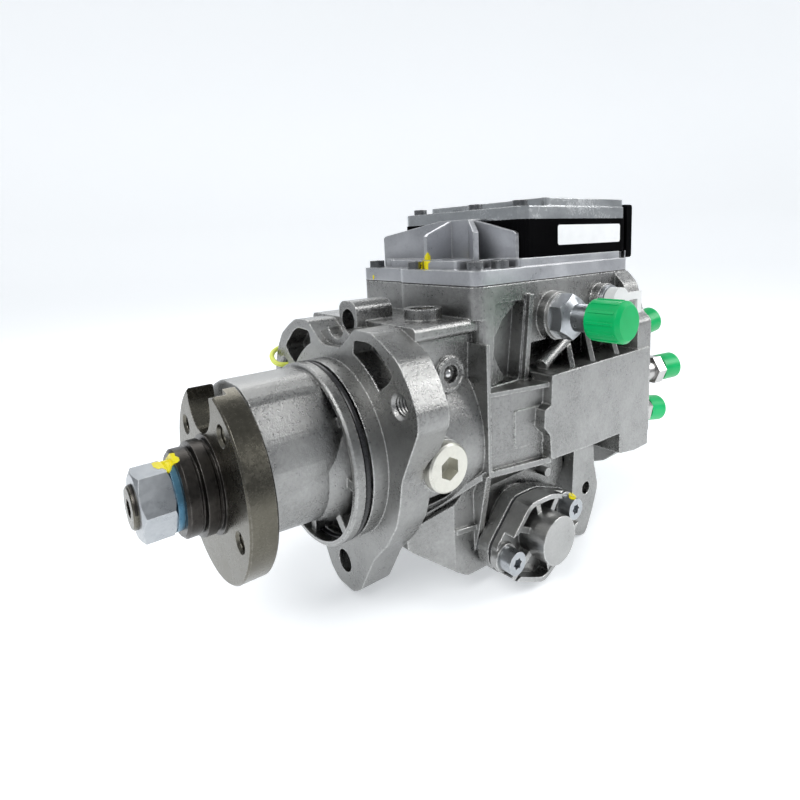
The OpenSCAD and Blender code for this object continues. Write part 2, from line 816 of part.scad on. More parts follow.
module timing_bores() {
    rod_x(timing_piston_r + run_gap, -timing_half_len - 1, timing_half_len + 1, timing_y, timing_z);
    // Slot for the pin of the roller ring
    rounded_box(-timing_travel - 8, timing_travel + 2, timing_y - 6, timing_y + 6,
        timing_z, -main_bore_r + 4, 3);
    for (side = [-1, 1])
        for (end = [-1, 1])
            rod_x(timing_bolt_r, side > 0 ? timing_half_len - 14 : -timing_half_len - 1,
                side > 0 ? timing_half_len + 1 : -timing_half_len + 14,
                timing_y + end * timing_bolt_span / 2 * cos(timing_tilt),
                timing_z + end * timing_bolt_span / 2 * sin(timing_tilt));
}

module fitting_bores() {
    rod_x(return_bore_r, chamber_half_w - 1, box_half_w + 7, return_y, return_z);
    rod_x(inlet_bore_r, chamber_half_w - 1, box_half_w + 7, inlet_y, inlet_z);
    rod_x(side_plug_thread_r, 40, side_plug_x + 1, side_plug_y, side_plug_z);
    rod_x(side_plug_r + 1.5, side_plug_x, side_plug_x + 20, side_plug_y, side_plug_z);
    rod_x(ball_plug_ball_r, neck_half_w - 7, neck_half_w + 2, ball_plug_y, ball_plug_z);
    rod_x(ball_plug_ball_r + 1.6, neck_half_w - 3, neck_half_w + 2, ball_plug_y, ball_plug_z);
    rod_z(neck_plug_r, neck_top_z - 2, neck_top_z + 7, neck_boss_x, neck_boss_y);
    rod_y(eye_channel_r, -1, 12, 0, eye_z);
    rod_y(eye_bore_r, 11, 37, 0, eye_z);
    rod_x(lug_hole_r, box_half_w - 13, box_half_w + 5, lug_y, lug_z);
    for (at = cover_bolts_at)
        rod_z(cover_bolt_r, box_top_z - 14, box_top_z + 1, at[0], at[1]);
    head_bolt_places()
        rod_y(head_bolt_r, rear_y - 12, rear_y + 1);
}

return_bore_r = 8;
inlet_bore_r = 7;
side_plug_thread_r = 9;
ball_plug_ball_r = 3.4;
lug_hole_r = 4.3;
neck_plug_r = 7;

module pump_housing() {
    color("#a9a9a6")
        difference() {
            union() {
                difference() {
                    union() {
                        flange_blank();
                        pilot_ring();
                        pilot_webs();
                        nose_blank();
                        neck_blank();
                        body_blank();
                        box_blank();
                        side_block_blank();
                        rear_flange_blank();
                        timing_blank();
                        lug_blank();
                        boss_blanks();
                        side_ribs();
                    }
                    side_recesses();
                }
                block_webs();
            }
            for (side = [0, 1])
                mirror([side, 0, 0])
                    flange_pocket();
            flange_hole_tools();
            turned([[groove_floor_r, -groove_back - groove_w], [pilot_r + 1, -groove_back - groove_w],
                [pilot_r + 1, -groove_back], [groove_floor_r, -groove_back]]);
            shaft_bores();
            inner_chamber();
            timing_bores();
            fitting_bores();
        }
}

// Seals and bearings
module pilot_seal_ring() {
    color("#1c1c1e")
        rotate([-90, 0, 0])
            rotate_extrude()
                translate([groove_floor_r + pilot_cord_d / 2, -groove_back - groove_w / 2])
                    circle(r = pilot_cord_d / 2, $fn = 48);
}

module shaft_seal() {
    color("#2a2a2c")
        turned([
            [shaft_r + 0.1, seal_y + 1], [shaft_r + 1, seal_y], [seal_r, seal_y],
            [seal_r, seal_y + seal_w], [seal_r - 2, seal_y + seal_w], [seal_r - 2, seal_y + 2],
            [shaft_r + 3, seal_y + 2], [shaft_r + 1.5, seal_y + 4], [shaft_r + 0.1, seal_y + 3]
        ]);
}

race_y = bearing_y + bearing_w / 2;

module race_groove() {
    rotate([-90, 0, 0])
        rotate_extrude()
            translate([ball_circle_r, race_y])
                circle(r = ball_r + race_gap, $fn = 48);
}

module bearing_outer_ring() {
    color("#c8c8c6")
        difference() {
            tube_y(bearing_r, ball_circle_r + ball_r * 0.55, bearing_y, bearing_back_y);
            race_groove();
        }
}

module bearing_inner_ring() {
    color("#c8c8c6")
        difference() {
            tube_y(ball_circle_r - ball_r * 0.55, shaft_r + seat_gap / 2, bearing_y, bearing_back_y);
            race_groove();
        }
}

module ball_at(i, r) {
    rotate([0, 360 / ball_count * i, 0])
        translate([ball_circle_r, race_y, 0])
            sphere(r = r);
}

module bearing_balls() {
    color("#d5d5d5") {
        for (i = [0 : ball_count - 1])
            ball_at(i, ball_r);
        tube_y(ball_circle_r + 1, ball_circle_r - 1, race_y - 2, race_y + 2);
    }
}

module rear_bush() {
    color("#b08d57")
        tube_y(bush_r, shaft_r + run_gap, bush_y, vane_y - 1);
}

// Drive shaft with the parts clamped on it
module drive_shaft() {
    color("#5a5a58")
        difference() {
            union() {
                turned([
                    [0, shaft_end_y], [shaft_thread_r - 0.7, shaft_end_y],
                    [shaft_thread_r, shaft_end_y + 0.7], [shaft_thread_r, hub_front_y - 1],
                    [hub_seat_r, hub_front_y + 1], [hub_seat_r, hub_back_y],
                    [shaft_r, hub_back_y + 0.5], [shaft_r, shaft_head_y],
                    [jaw_r, shaft_head_y], [jaw_r, shaft_head_y + shaft_head_t],
                    [0, shaft_head_y + shaft_head_t]
                ]);
                along_y(shaft_head_y + shaft_head_t - 1, shaft_jaw_end_y)
                    for (turn = [0, 180])
                        ring_sector(jaw_inner_r, jaw_r, jaw_angle, turn);
            }
            hex_y(shaft_socket, shaft_end_y - 1, shaft_end_y + 7);
            shaft_key_seat(0.02);
        }
}

shaft_socket = 8;
key_w = 5;
key_len = hub_t - 3;

module shaft_key_seat(gap) {
    translate([-key_w / 2 - gap, hub_front_y + 1.5 - gap, -hub_seat_r - 2 - gap])
        cube([key_w + 2 * gap, key_len + 2 * gap, 4 + gap]);
}

module shaft_key() {
    color("#6a6a66")
        shaft_key_seat(0);
}

// The hub turns the notch this far from the top, and its holes pair up beside the notch
hub_turn = 8;
hub_hole_offsets = [46, 122.5];
hub_hole_turns = [for (side = [-1, 1]) for (a = hub_hole_offsets) 90 + hub_turn + side * a];

module drive_hub() {
    color("#6f6a62")
        difference() {
            turned([
                [hub_seat_r + seat_gap, hub_front_y], [hub_r - 0.8, hub_front_y],
                [hub_r, hub_front_y + 0.8], [hub_r, hub_back_y - 0.8],
                [hub_r - 0.8, hub_back_y], [hub_seat_r + seat_gap, hub_back_y]
            ]);
            for (turn = hub_hole_turns)
                rotate([0, -turn, 0])
                    translate([hub_circle_r, 0, 0]) {
                        rod_y(hub_tap_r, hub_front_y - 1, hub_back_y + 1);
                        translate([0, hub_front_y - 0.01, 0])
                            rotate([-90, 0, 0])
                                cylinder(r1 = hub_tap_r + 1.3, r2 = hub_tap_r, h = 1.3);
                    }
            rotate([0, -hub_turn, 0])
                hub_notch();
            translate([0, 0, -0.02])
                shaft_key_seat(0.02);
        }
}

// The notch in the rim, narrower on one side behind a step
module hub_notch() {
    notch_z = notch_floor + notch_r;
    rod_y(notch_r, hub_front_y - 1, hub_back_y + 1, 0, notch_z);
    translate([-notch_r, hub_front_y - 1, notch_z])
        cube([2 * notch_r, hub_t + 2, hub_r]);
    translate([0, hub_front_y - 1, hub_r - 6])
        cube([notch_r + 5, hub_t * 0.5 + 1, hub_r]);
}

module hub_collar() {
    step = collar_len / 13;
    color("#262322")
        turned([
            [collar_bore_r, collar_front_y], [collar_r - 3.5, collar_front_y],
            [collar_r - 2, collar_front_y + 1 * step], [collar_r - 2, collar_front_y + 5 * step],
            [collar_r - 3, collar_front_y + 5.4 * step], [collar_r - 3, collar_front_y + 6 * step],
            [collar_r, collar_front_y + 6.5 * step], [collar_r, collar_front_y + 10.5 * step],
            [collar_r - 1, collar_front_y + 11 * step], [collar_r - 1, collar_front_y + 12 * step],
            [collar_r + 1.5, collar_front_y + 12.2 * step], [collar_r + 1.5, hub_front_y],
            [collar_bore_r, hub_front_y]
        ]);
}

module lock_washer() {
    color("#4f87a5")
        difference() {
            tube_y(nut_flats / 2 + 1.5, shaft_thread_r + 0.3, washer_front_y, collar_front_y);
            translate([-0.6, washer_front_y - 1, 0])
                cube([1.2, lock_washer_t + 2, nut_flats]);
        }
}

module shaft_nut() {
    nut_corner_r = nut_flats / sqrt(3);
    color("#b9bcc0")
        difference() {
            intersection() {
                hex_y(nut_flats, nut_front_y, washer_front_y);
                turned([
                    [0, nut_front_y], [nut_flats / 2 - 0.5, nut_front_y],
                    [nut_corner_r + 0.1, nut_front_y + 1.6], [nut_corner_r + 0.1, washer_front_y - 1.2],
                    [nut_flats / 2 + 0.5, washer_front_y], [0, washer_front_y]
                ]);
            }
            rod_y(shaft_thread_r + seat_gap, nut_front_y - 1, washer_front_y + 1);
        }
}

// Supply pump
module vane_ring() {
    color("#8d8d8a")
        difference() {
            rod_y(vane_pocket_r, vane_y, vane_plate_y);
            rod_y(ring_bore_r, vane_y - 1, vane_plate_y + 1, ring_offset, 0);
        }
}

module vane_plate() {
    color("#9a9a97")
        difference() {
            tube_y(vane_pocket_r, shaft_r + pass_gap, vane_plate_y, main_bore_y);
            for (side = [-1, 1])
                rod_y(2.5, vane_plate_y - 1, main_bore_y + 1, 0, side * (vane_pocket_r - 5));
        }
}

module vane_slots(t, r) {
    for (turn = [45 : 90 : 315])
        rotate([0, turn, 0])
            translate([r, vane_y - 1, -t / 2])
                cube([vane_pocket_r, vane_w + 2, t]);
}

module vane_rotor() {
    color("#7b7b78")
        difference() {
            tube_y(rotor_r, shaft_r + seat_gap / 2, vane_y + 0.2, vane_plate_y - 0.2);
            vane_slots(vane_t, shaft_r + 1.5);
        }
}

module vanes() {
    color("#8a8a88")
        for (turn = [45 : 90 : 315])
            rotate([0, turn, 0])
                translate([shaft_r + 1.7, vane_y + 0.2, -vane_t / 2 + 0.05])
                    cube([rotor_r - shaft_r - 1.6, vane_w - 0.4, vane_t - 0.1]);
}

trigger_r = 27;
tooth_h = 1.6;

module trigger_wheel() {
    tooth_angle = 360 / trigger_teeth;
    color("#74746f")
        difference() {
            tube_y(trigger_r, shaft_r + seat_gap / 2, trigger_y, trigger_y + trigger_t);
            for (i = [0 : trigger_teeth - 1])
                rotate([0, i * tooth_angle, 0])
                    translate([trigger_r - tooth_h, trigger_y - 1, -trigger_r * sin(tooth_angle / 4)])
                        cube([5, trigger_t + 2, 2 * trigger_r * sin(tooth_angle / 4)]);
        }
}

// Cam drive
module angle_sensor() {
    color("#3a3a3a") {
        translate([-7, trigger_y - 2, trigger_r + 0.6])
            cube([14, trigger_t + 4, 8]);
        translate([-5, trigger_y + trigger_t, 31])
            cube([10, ring_front_y - trigger_y - trigger_t, 4.5]);
    }
}

module coupling_cross() {
    color("#8b8b86")
        along_y(cross_y, cross_y + cross_t) {
            circle(r = jaw_inner_r - 0.4);
            for (turn = [45 : 90 : 315])
                ring_sector(jaw_inner_r - 1, jaw_r, cross_angle, turn);
        }
}

roller_pin_r = 2.5;
roller_inner_x = roller_mid_r - roller_len / 2;
timing_ball_r = 5.5;
timing_pin_r = 3.5;

module roller_ring() {
    color("#6d6d69")
        difference() {
            union() {
                tube_y(main_bore_r - run_gap, roller_ring_bore_r, ring_front_y, ring_back_y);
                rod_z(timing_pin_r, timing_z, -main_bore_r + 4, 0, timing_y);
                translate([0, timing_y, timing_z])
                    sphere(r = timing_ball_r);
            }
            for (i = [0 : roller_count - 1])
                rotate([0, -90 - 360 / roller_count * i, 0])
                    translate([roller_inner_x - 0.4, roller_y, 0])
                        roller_pocket();
        }
    color("#6d6d69")
        for (i = [0 : roller_count - 1])
            rotate([0, -90 - 360 / roller_count * i, 0])
                rod_x(roller_pin_r, roller_ring_bore_r + 0.5, main_bore_r - 1, roller_y, 0);
}

module roller_pocket() {
    rod_x(roller_r + 0.4, 0, roller_len + 0.8);
    translate([0, 0, -roller_r - 0.4])
        cube([roller_len + 0.8, roller_r + 10, 2 * roller_r + 0.8]);
}

module cam_roller(i) {
    color("#b4b4b0")
        rotate([0, -90 - 120 * i, 0])
            difference() {
                rod_x(roller_r, roller_inner_x, roller_inner_x + roller_len, roller_y, 0);
                rod_x(roller_pin_r + run_gap, roller_inner_x - 1, roller_inner_x + roller_len + 1,
                    roller_y, 0);
            }
}

module cam_roller_1() {
    cam_roller(0);
}

module cam_roller_2() {
    cam_roller(1);
}

module cam_roller_3() {
    cam_roller(2);
}

lobe_r = 16;
lobe_out_r = cam_plate_r - 1;

// The cam plate: a disc with one raised lobe for each cylinder and two driving jaws
module cam_plate() {
    color("#7a7a75") {
        rod_y(cam_plate_r, cam_face_y, cam_back_y);
        intersection() {
            tube_y(lobe_out_r, roller_ring_bore_r + 1.5, lobe_top_y - 1, cam_face_y + 1);
            for (i = [0 : lobe_count - 1])
                rotate([0, -360 / lobe_count * i, 0])
                    rod_x(lobe_r, roller_ring_bore_r, cam_plate_r, lobe_top_y + lobe_r, 0);
        }
        along_y(cam_jaw_y, cam_face_y + 1)
            for (turn = [90, 270])
                ring_sector(jaw_inner_r, jaw_r, jaw_angle, turn);
    }
}

plunger_end_y = rear_y - 14;

module plunger() {
    color("#a3a3a0")
        difference() {
            union() {
                rod_y(foot_r, cam_back_y, cam_back_y + foot_t);
                rod_y(plunger_r, cam_back_y, plunger_end_y);
            }
            rod_y(1.2, plunger_end_y - 30, plunger_end_y + 1);
            rod_x(1, 0, plunger_r + 1, port_y, 0);
        }
}

module spring_bridge() {
    color("#85857f")
        difference() {
            along_y(bridge_y, bridge_y + bridge_t)
                polygon(soften([
                    [-plunger_spring_x - 9, -6], [-10, -12], [10, -12], [plunger_spring_x + 9, -6],
                    [plunger_spring_x + 9, 6], [10, 12], [-10, 12], [-plunger_spring_x - 9, 6]
                ], 5));
            rod_y(plunger_r + pass_gap, bridge_y - 1, bridge_y + bridge_t + 1);
            for (side = [-1, 1])
                rod_y(guide_pin_r + pass_gap, bridge_y - 1, bridge_y + bridge_t + 1,
                    side * plunger_spring_x, 0);
        }
}

// A coil spring of round wire about the Z axis, as a swept tube
coil_sides = 6;
coil_steps = 12;

module coil(mean_r, wire_r, length, turns) {
    count = turns * coil_steps;
    rise = (length - 2 * wire_r) / count;
    points = [
        for (i = [0 : count])
            for (k = [0 : coil_sides - 1])
                let (
                    turn = 360 * i / coil_steps,
                    around = 360 * k / coil_sides,
                    r = mean_r + wire_r * cos(around)
                )
                [r * cos(turn), r * sin(turn), wire_r + rise * i + wire_r * sin(around)]
    ];
    walls = [
        for (i = [0 : count - 1])
            for (k = [0 : coil_sides - 1])
                let (
                    a = i * coil_sides + k,
                    b = i * coil_sides + (k + 1) % coil_sides
                )
                [a, b, b + coil_sides, a + coil_sides]
    ];
    first = [for (k = [coil_sides - 1 : -1 : 0]) k];
    last = [for (k = [0 : coil_sides - 1]) count * coil_sides + k];
    polyhedron(points, concat([first, last], walls), convexity = 10);
}

module plunger_springs() {
    color("#4b4f55")
        for (side = [-1, 1])
            translate([side * plunger_spring_x, bridge_y + bridge_t + 0.1, 0])
                rotate([-90, 0, 0])
                    coil(5.6, 1, head_front_y - bridge_y - bridge_t - 0.2, 7);
}

// Distributor head with the solenoid valve and the outlets
barrel_end_y = rear_y + 2;
outlet_turns = [48, 5, -38, 132, 175, 218];
outlet_thread_r = 7;
outlet_boss_h = 3;
drill_r = 1.1;
port_y = plunger_end_y - 24;
drill_len = (head_back_y - port_y) / cos(outlet_lean);
head_seal_cord_d = 3;
head_seal_y = rear_inner_y + 4;
solenoid_thread_r = 12;
guide_pin_start_y = cam_back_y + 2.4;

// Puts its children on the axis of one outlet, along +Z from the rear face of the head
module at_outlet(turn) {
    rotate([0, -turn, 0])
        translate([outlet_circle_r, head_back_y, 0])
            rotate([0, 0, -outlet_lean])
                rotate([-90, 0, 0])
                    children();
}

head_bolt_r = 3;
head_bolt_turns = [25, 155, 250, 290];

module head_bolt_places() {
    for (turn = head_bolt_turns)
        translate([head_bolt_circle_r * cos(turn), 0, head_bolt_circle_r * sin(turn)])
            children();
}

module distributor_head() {
    color("#6f7174")
        difference() {
            union() {
                turned([
                    [0, head_front_y], [main_bore_r - 2, head_front_y],
                    [main_bore_r - seat_gap, head_front_y + 2], [main_bore_r - seat_gap, rear_y],
                    [head_flange_r - 1, rear_y], [head_flange_r, rear_y + 1],
                    [head_flange_r, head_back_y - 1.5], [head_flange_r - 1.5, head_back_y],
                    [0, head_back_y]
                ]);
                for (turn = outlet_turns)
                    at_outlet(turn)
                        translate([0, 0, -6])
                            cylinder(r = outlet_r + 1.5, h = 6 + outlet_boss_h);
                for (side = [-1, 1])
                    rod_y(guide_pin_r, guide_pin_start_y, head_front_y + 1, side * plunger_spring_x, 0);
            }
            rod_y(plunger_r + run_gap, head_front_y - 1, barrel_end_y);
            rod_y(solenoid_thread_r, rear_y, head_back_y + 1);
            turned([
                [main_bore_r - head_seal_cord_d - 0.1, head_seal_y], [main_bore_r + 1, head_seal_y],
                [main_bore_r + 1, head_seal_y + head_seal_cord_d + 0.6],
                [main_bore_r - head_seal_cord_d - 0.1, head_seal_y + head_seal_cord_d + 0.6]
            ]);
            for (turn = outlet_turns) {
                at_outlet(turn) {
                    translate([0, 0, -10])
                        cylinder(r = outlet_thread_r, h = 14);
                    translate([0, 0, -drill_len])
                        cylinder(r = drill_r, h = drill_len - 8);
                }
                rotate([0, -turn, 0])
                    rod_x(drill_r - 0.3, plunger_r - 1, outlet_circle_r - drill_len * sin(outlet_lean),
                        port_y + 0.6, 0);
            }
            head_bolt_places()
                rod_y(head_bolt_r + 0.2, rear_y - 1, head_back_y + 1);
        }
}

module head_seal_ring() {
    color("#1c1c1e")
        rotate([-90, 0, 0])
            rotate_extrude()
                translate([main_bore_r - head_seal_cord_d / 2 - 0.08,
                    head_seal_y + head_seal_cord_d / 2 + 0.3])
                    circle(r = head_seal_cord_d / 2, $fn = 48);
}

// A socket-head bolt along +Y, with its head standing on the given plane
module bolt_y(y, thread_r, thread_len, head_r, head_h) {
    difference() {
        union() {
            rod_y(thread_r, y - thread_len, y + 1);
            rod_y(head_r, y, y + head_h);
        }
        hex_y(head_r * 1.05, y + head_h * 0.45, y + head_h + 1);
    }
}

module head_bolts() {
    color("#55575a")
        head_bolt_places()
            bolt_y(head_back_y, head_bolt_r - seat_gap, head_flange_t + 10, 4.8, 6);
}

needle_r = 2.5;
needle_stroke = 0.4;

module solenoid_valve() {
    color("#4a4c50")
        difference() {
            union() {
                rod_y(solenoid_thread_r - seat_gap, barrel_end_y, head_back_y + 1);
                hex_y(solenoid_flats, head_back_y, head_back_y + 9);
                turned([
                    [0, head_back_y + 8], [solenoid_r - 1, head_back_y + 8],
                    [solenoid_r, head_back_y + 9], [solenoid_r, head_back_y + solenoid_len - 2],
                    [solenoid_r - 2, head_back_y + solenoid_len], [0, head_back_y + solenoid_len]
                ]);
                translate([-8, head_back_y + 14, solenoid_r - 3])
                    cube([16, solenoid_len - 22, 11]);
            }
            rod_y(needle_r + run_gap, barrel_end_y - 1, head_back_y + solenoid_len - 8);
        }
}

solenoid_flats = 32;

module valve_needle() {
    color("#c0c0be")
        rod_y(needle_r, barrel_end_y + 0.5, head_back_y + solenoid_len - 8 - needle_stroke - 0.2);
}

cap_len = 15;
nut_flat_w = 20;
outlet_spigot_r = outlet_r - 2;

module outlet_holders() {
    color("#a6a6a2")
        for (turn = outlet_turns)
            at_outlet(turn)
                difference() {
                    union() {
                        translate([0, 0, -9.5])
                            cylinder(r = outlet_thread_r - seat_gap, h = 11);
                        translate([0, 0, outlet_boss_h])
                            cylinder(r = outlet_r, h = outlet_len - cap_len - 3 - outlet_boss_h);
                        translate([0, 0, outlet_len - cap_len - 9])
                            cylinder(r = nut_flat_w / sqrt(3), h = 8, $fn = 6);
                        cylinder(r = outlet_spigot_r, h = outlet_len);
                    }
                    translate([0, 0, -10])
                        cylinder(r = 1.5, h = outlet_len + 11);
                }
}

// A pull-on cap: a cup with ribs along its outside, open at z = 0
module rib_cap(r, length, bore_r, end_t, ribs) {
    difference() {
        union() {
            translate([0, 0, length - 2])
                cylinder(r1 = r, r2 = r - 2, h = 2);
            cylinder(r = r, h = length - 2);
            for (i = [0 : ribs - 1])
                rotate(360 / ribs * i)
                    translate([r - 1, -0.7, 1.5])
                        cube([1.5, 1.4, length - 5]);
        }
        translate([0, 0, -1])
            cylinder(r = bore_r, h = length - end_t + 1);
    }
}

module outlet_caps() {
    color("#12b36b")
        for (turn = outlet_turns)
            at_outlet(turn)
                translate([0, 0, outlet_len - cap_len + 0.1])
                    rib_cap(outlet_cap_r, cap_len + 3, outlet_spigot_r + 0.1, 2.4, 0);
}

// Timing device
module timing_piston() {
    color("#8f8f8a")
        difference() {
            rod_x(timing_piston_r, -piston_seat_x, piston_seat_x, timing_y, timing_z);
            rod_z(timing_ball_r + 0.1, timing_z - timing_ball_r - 1.5, 0, 0, timing_y);
            rod_x(timing_piston_r - 4, -piston_seat_x - 1, -piston_seat_x + 8, timing_y, timing_z);
        }
}

spring_seat_x = -piston_seat_x + 8;
spring_recess = 3;

module timing_spring() {
    color("#4b4f55")
        translate([spring_seat_x - 0.1, timing_y, timing_z])
            rotate([0, -90, 0])
                coil(7, 1.2, spring_seat_x + timing_cover_x + spring_recess - 0.2, 8);
}

module timing_bolt_places() {
    for (end = [-1, 1])
        translate([0, timing_y + end * timing_bolt_span / 2 * cos(timing_tilt),
            timing_z + end * timing_bolt_span / 2 * sin(timing_tilt)])
            children();
}

module timing_gasket_shape() {
    difference() {
        along_x(timing_half_len, timing_half_len + gasket_t)
            at_timing()
                timing_pad(0.5);
        rod_x(timing_piston_r - 1, timing_half_len - 1, timing_half_len + gasket_t + 1, timing_y, timing_z);
        timing_bolt_places()
            rod_x(timing_bolt_r + 0.3, timing_half_len - 1, timing_half_len + gasket_t + 1);
    }
}

module timing_cover_gasket() {
    color("#26282a")
        timing_gasket_shape();
}

module spring_cover_gasket() {
    color("#26282a")
        mirror([1, 0, 0])
            timing_gasket_shape();
}

timing_cover_x = timing_half_len + gasket_t;
timing_web_t = 3.5;
timing_edge_t = 4;

// A cover with a thin rim, a round boss in the middle and webs that run out to the rim
module timing_cover_shape(boss_len) {
    difference() {
        union() {
            along_x(timing_cover_x, timing_cover_x + timing_edge_t)
                at_timing()
                    timing_pad(0.5);
            timing_bolt_places()
                rod_x(timing_bolt_head_r + 1.5, web_x, timing_cover_x + 6);
            rod_x(timing_face_r, web_x, timing_cover_x + boss_len, timing_y, timing_z);
            timing_cover_rim(boss_len);
            intersection() {
                for (turn = [40, 90, 140, 200, 270, 330])
                    timing_cover_web(turn + timing_tilt, boss_len);
                along_x(web_x, timing_cover_x + boss_len)
                    at_timing()
                        timing_pad(1);
            }
        }
        timing_bolt_places()
            rod_x(timing_bolt_r + 0.3, timing_cover_x - 1, timing_cover_x + 8);
        timing_bolt_places()
            rod_x(timing_bolt_head_r + 0.4, timing_cover_x + 6, timing_cover_x + boss_len);
        rod_x(timing_piston_r - 4, timing_cover_x - 1, timing_cover_x + spring_recess, timing_y, timing_z);
    }
}

web_x = timing_cover_x + 1;

// The upstanding rim on the two long sides of the cover
module timing_cover_rim(boss_len) {
    along_x(web_x, timing_cover_x + boss_len * 0.5)
        at_timing()
            difference() {
                timing_pad(0.5);
                timing_pad(3.5);
                rotate(timing_tilt)
                    for (side = [-1, 1])
                        translate([side * (timing_bolt_span / 2 + 6), 0])
                            square([26, 26], center = true);
            }
}

module timing_cover_web(turn, boss_len) {
    translate([0, timing_y, timing_z])
        rotate([turn, 0, 0])
            along_y(0, timing_bolt_span * 0.65)
                translate([web_x, -timing_web_t / 2])
                    square([boss_len * 0.5 - 1.5, timing_web_t]);
}

module timing_cover() {
    color("#b3b3b0")
        timing_cover_shape(timing_cover_len);
}

module spring_cover() {
    color("#b3b3b0")
        mirror([1, 0, 0])
            timing_cover_shape(timing_cover_len - 8);
}

module timing_bolt_shape() {
    color("#7d7d7a")
        timing_bolt_places()
            difference() {
                union() {
                    rod_x(timing_bolt_r - seat_gap, timing_half_len - 12, timing_cover_x + 7);
                    rod_x(timing_bolt_head_r, timing_cover_x + 6, timing_cover_x + 14);
                }
                along_x(timing_cover_x + 10, timing_cover_x + 15)
                    star(3.4);
            }
}

module timing_cover_bolts() {
    timing_bolt_shape();
}

module spring_cover_bolts() {
    mirror([1, 0, 0])
        timing_bolt_shape();
}

// Cover with its ribbed dome
module on_cover_bolts() {
    for (at = cover_bolts_at)
        translate([at[0], at[1], 0])
            children();
}

module cover_gasket() {
    color("#2b2b2d")
        translate([0, 0, box_top_z])
            linear_extrude(cover_gasket_t)
                difference() {
                    polygon(cover_outline);
                    polygon(soften([
                        [-chamber_half_w - 1, chamber_front_y - 1], [chamber_half_w + 1, chamber_front_y - 1],
                        [chamber_half_w + 1, chamber_rear_y + 1], [-chamber_half_w - 1, chamber_rear_y + 1]
                    ], 6));
                    on_cover_bolts()
                        circle(r = cover_bolt_r + 0.3);
                }
}

raised_outline = soften([
    [-box_half_w + 2, cover_front_y + 17], [-38, cover_front_y + 15], [-30, cover_front_y + 4],
    [-12, ear_front_y + 14], [-6, ear_front_y + 14], [10, ear_front_y + 5],
    [36, ear_front_y + 5], [40, ear_front_y + 18], [42, ecu_y - 6], [box_half_w - 0.5, ecu_y - 4],
    [box_half_w - 0.5, rear_y - 1.5], [-box_half_w + 0.5, rear_y - 1.5]
], 3, 3);

dome_z = raised_z + dome_h;
ridge_y = ecu_y - 9;
ridge_left = -6;
ridge_right = 22;
fin_drop = 8;
fin_ends = [[-box_half_w + 2, ecu_y - 19], [2, ear_front_y + 12], [box_half_w - 12, ear_front_y + 14],
    [box_half_w - 4, ecu_y - 2]];

// The upright walls of the dome behind its fins, under a gabled top
module dome_core() {
    core_z = dome_z - dome_rib_t;
    intersection() {
        translate([0, 0, cover_top_z])
            linear_extrude(dome_z - cover_top_z)
                polygon([fin_ends[0], [ridge_left, ridge_y], [ridge_right, ridge_y], fin_ends[3],
                    [fin_ends[3][0], ecu_y - 1], [fin_ends[0][0], ecu_y - 1]]);
        along_y(ear_front_y, ecu_y)
            polygon([
                [fin_ends[0][0], cover_top_z - 1], [fin_ends[3][0], cover_top_z - 1],
                [fin_ends[3][0], core_z - fin_drop], [ridge_right, core_z], [ridge_left, core_z],
                [fin_ends[0][0], core_z - fin_drop]
            ]);
    }
}

// One upright fin from the top of the dome to a corner of its foot
module dome_fin(start, end) {
    run = norm(end - start);
    turn = atan2(end[1] - start[1], end[0] - start[0]);
    translate([start[0], start[1], 0])
        rotate(turn)
            along_y(-dome_rib_t / 2, dome_rib_t / 2)
                polygon([
                    [-dome_rib_t / 2, cover_top_z - 1], [run, cover_top_z - 1], [run, dome_z - fin_drop - 1.5],
                    [run - 1.5, dome_z - fin_drop], [0, dome_z], [-dome_rib_t / 2, dome_z]
                ]);
}

module housing_cover() {
    color("#b4b5b8")
        difference() {
            union() {
                translate([0, 0, cover_z])
                    linear_extrude(cover_edge_t)
                        polygon(cover_outline);
                translate([0, 0, cover_top_z - 1])
                    linear_extrude(cover_step + 1)
                        difference() {
                            polygon(raised_outline);
                            on_cover_bolts()
                                circle(r = bolt_head_r + 2);
                        }
                dome_core();
                dome_fin([ridge_left, ridge_y], fin_ends[0]);
                dome_fin([ridge_left + 10, ridge_y], fin_ends[1]);
                dome_fin([ridge_right - 1, ridge_y], fin_ends[2]);
                dome_fin([ridge_right, ridge_y], fin_ends[3]);
                translate([ridge_left - dome_rib_t / 2, ridge_y - dome_rib_t / 2, raised_z])
                    cube([ridge_right - ridge_left + dome_rib_t, ecu_y - 1 - ridge_y, dome_h]);
            }
            on_cover_bolts() {
                rod_z(cover_bolt_r + 0.3, cover_z - 1, cover_top_z + 1);
                rod_z(bolt_head_r + head_gap, cover_top_z, dome_z + 1);
            }
            rounded_box(-chamber_half_w + 3, chamber_half_w - 3, chamber_front_y + 3, chamber_rear_y - 3,
                cover_z - 1, cover_z + 3, 5);
        }
}

module cover_bolts() {
    color("#87888a")
        on_cover_bolts()
            difference() {
                union() {
                    rod_z(cover_bolt_r - seat_gap, box_top_z - 13, cover_top_z + 1);
                    rod_z(bolt_head_r, cover_top_z, raised_z - 0.5);
                }
                translate([0, 0, raised_z - 2.5])
                    linear_extrude(3)
                        star(bolt_head_r * 0.6);
            }
}

// Control unit
ecu_wall = 3;
ecu_corner = 8;
board_z = raised_z + 9;
board_t = 1.6;
ecu_screw_r = 2;
ecu_screw_head_r = 4.5;
ecu_screws_at = [
    for (y = [ecu_y + 6, rear_y - 6])
        for (x = [-ecu_w / 2 + 13, 12, ecu_w / 2 - 8])
            [ecu_x + x, y]
];

module ecu_box(inset, z0, z1) {
    rounded_box(ecu_x - ecu_w / 2 + inset, ecu_x + ecu_w / 2 - inset, ecu_y + inset, rear_y - inset,
        z0, z1, ecu_corner);
}

module on_ecu_screws() {
    for (at = ecu_screws_at)
        translate([at[0], at[1], 0])
            children();
}

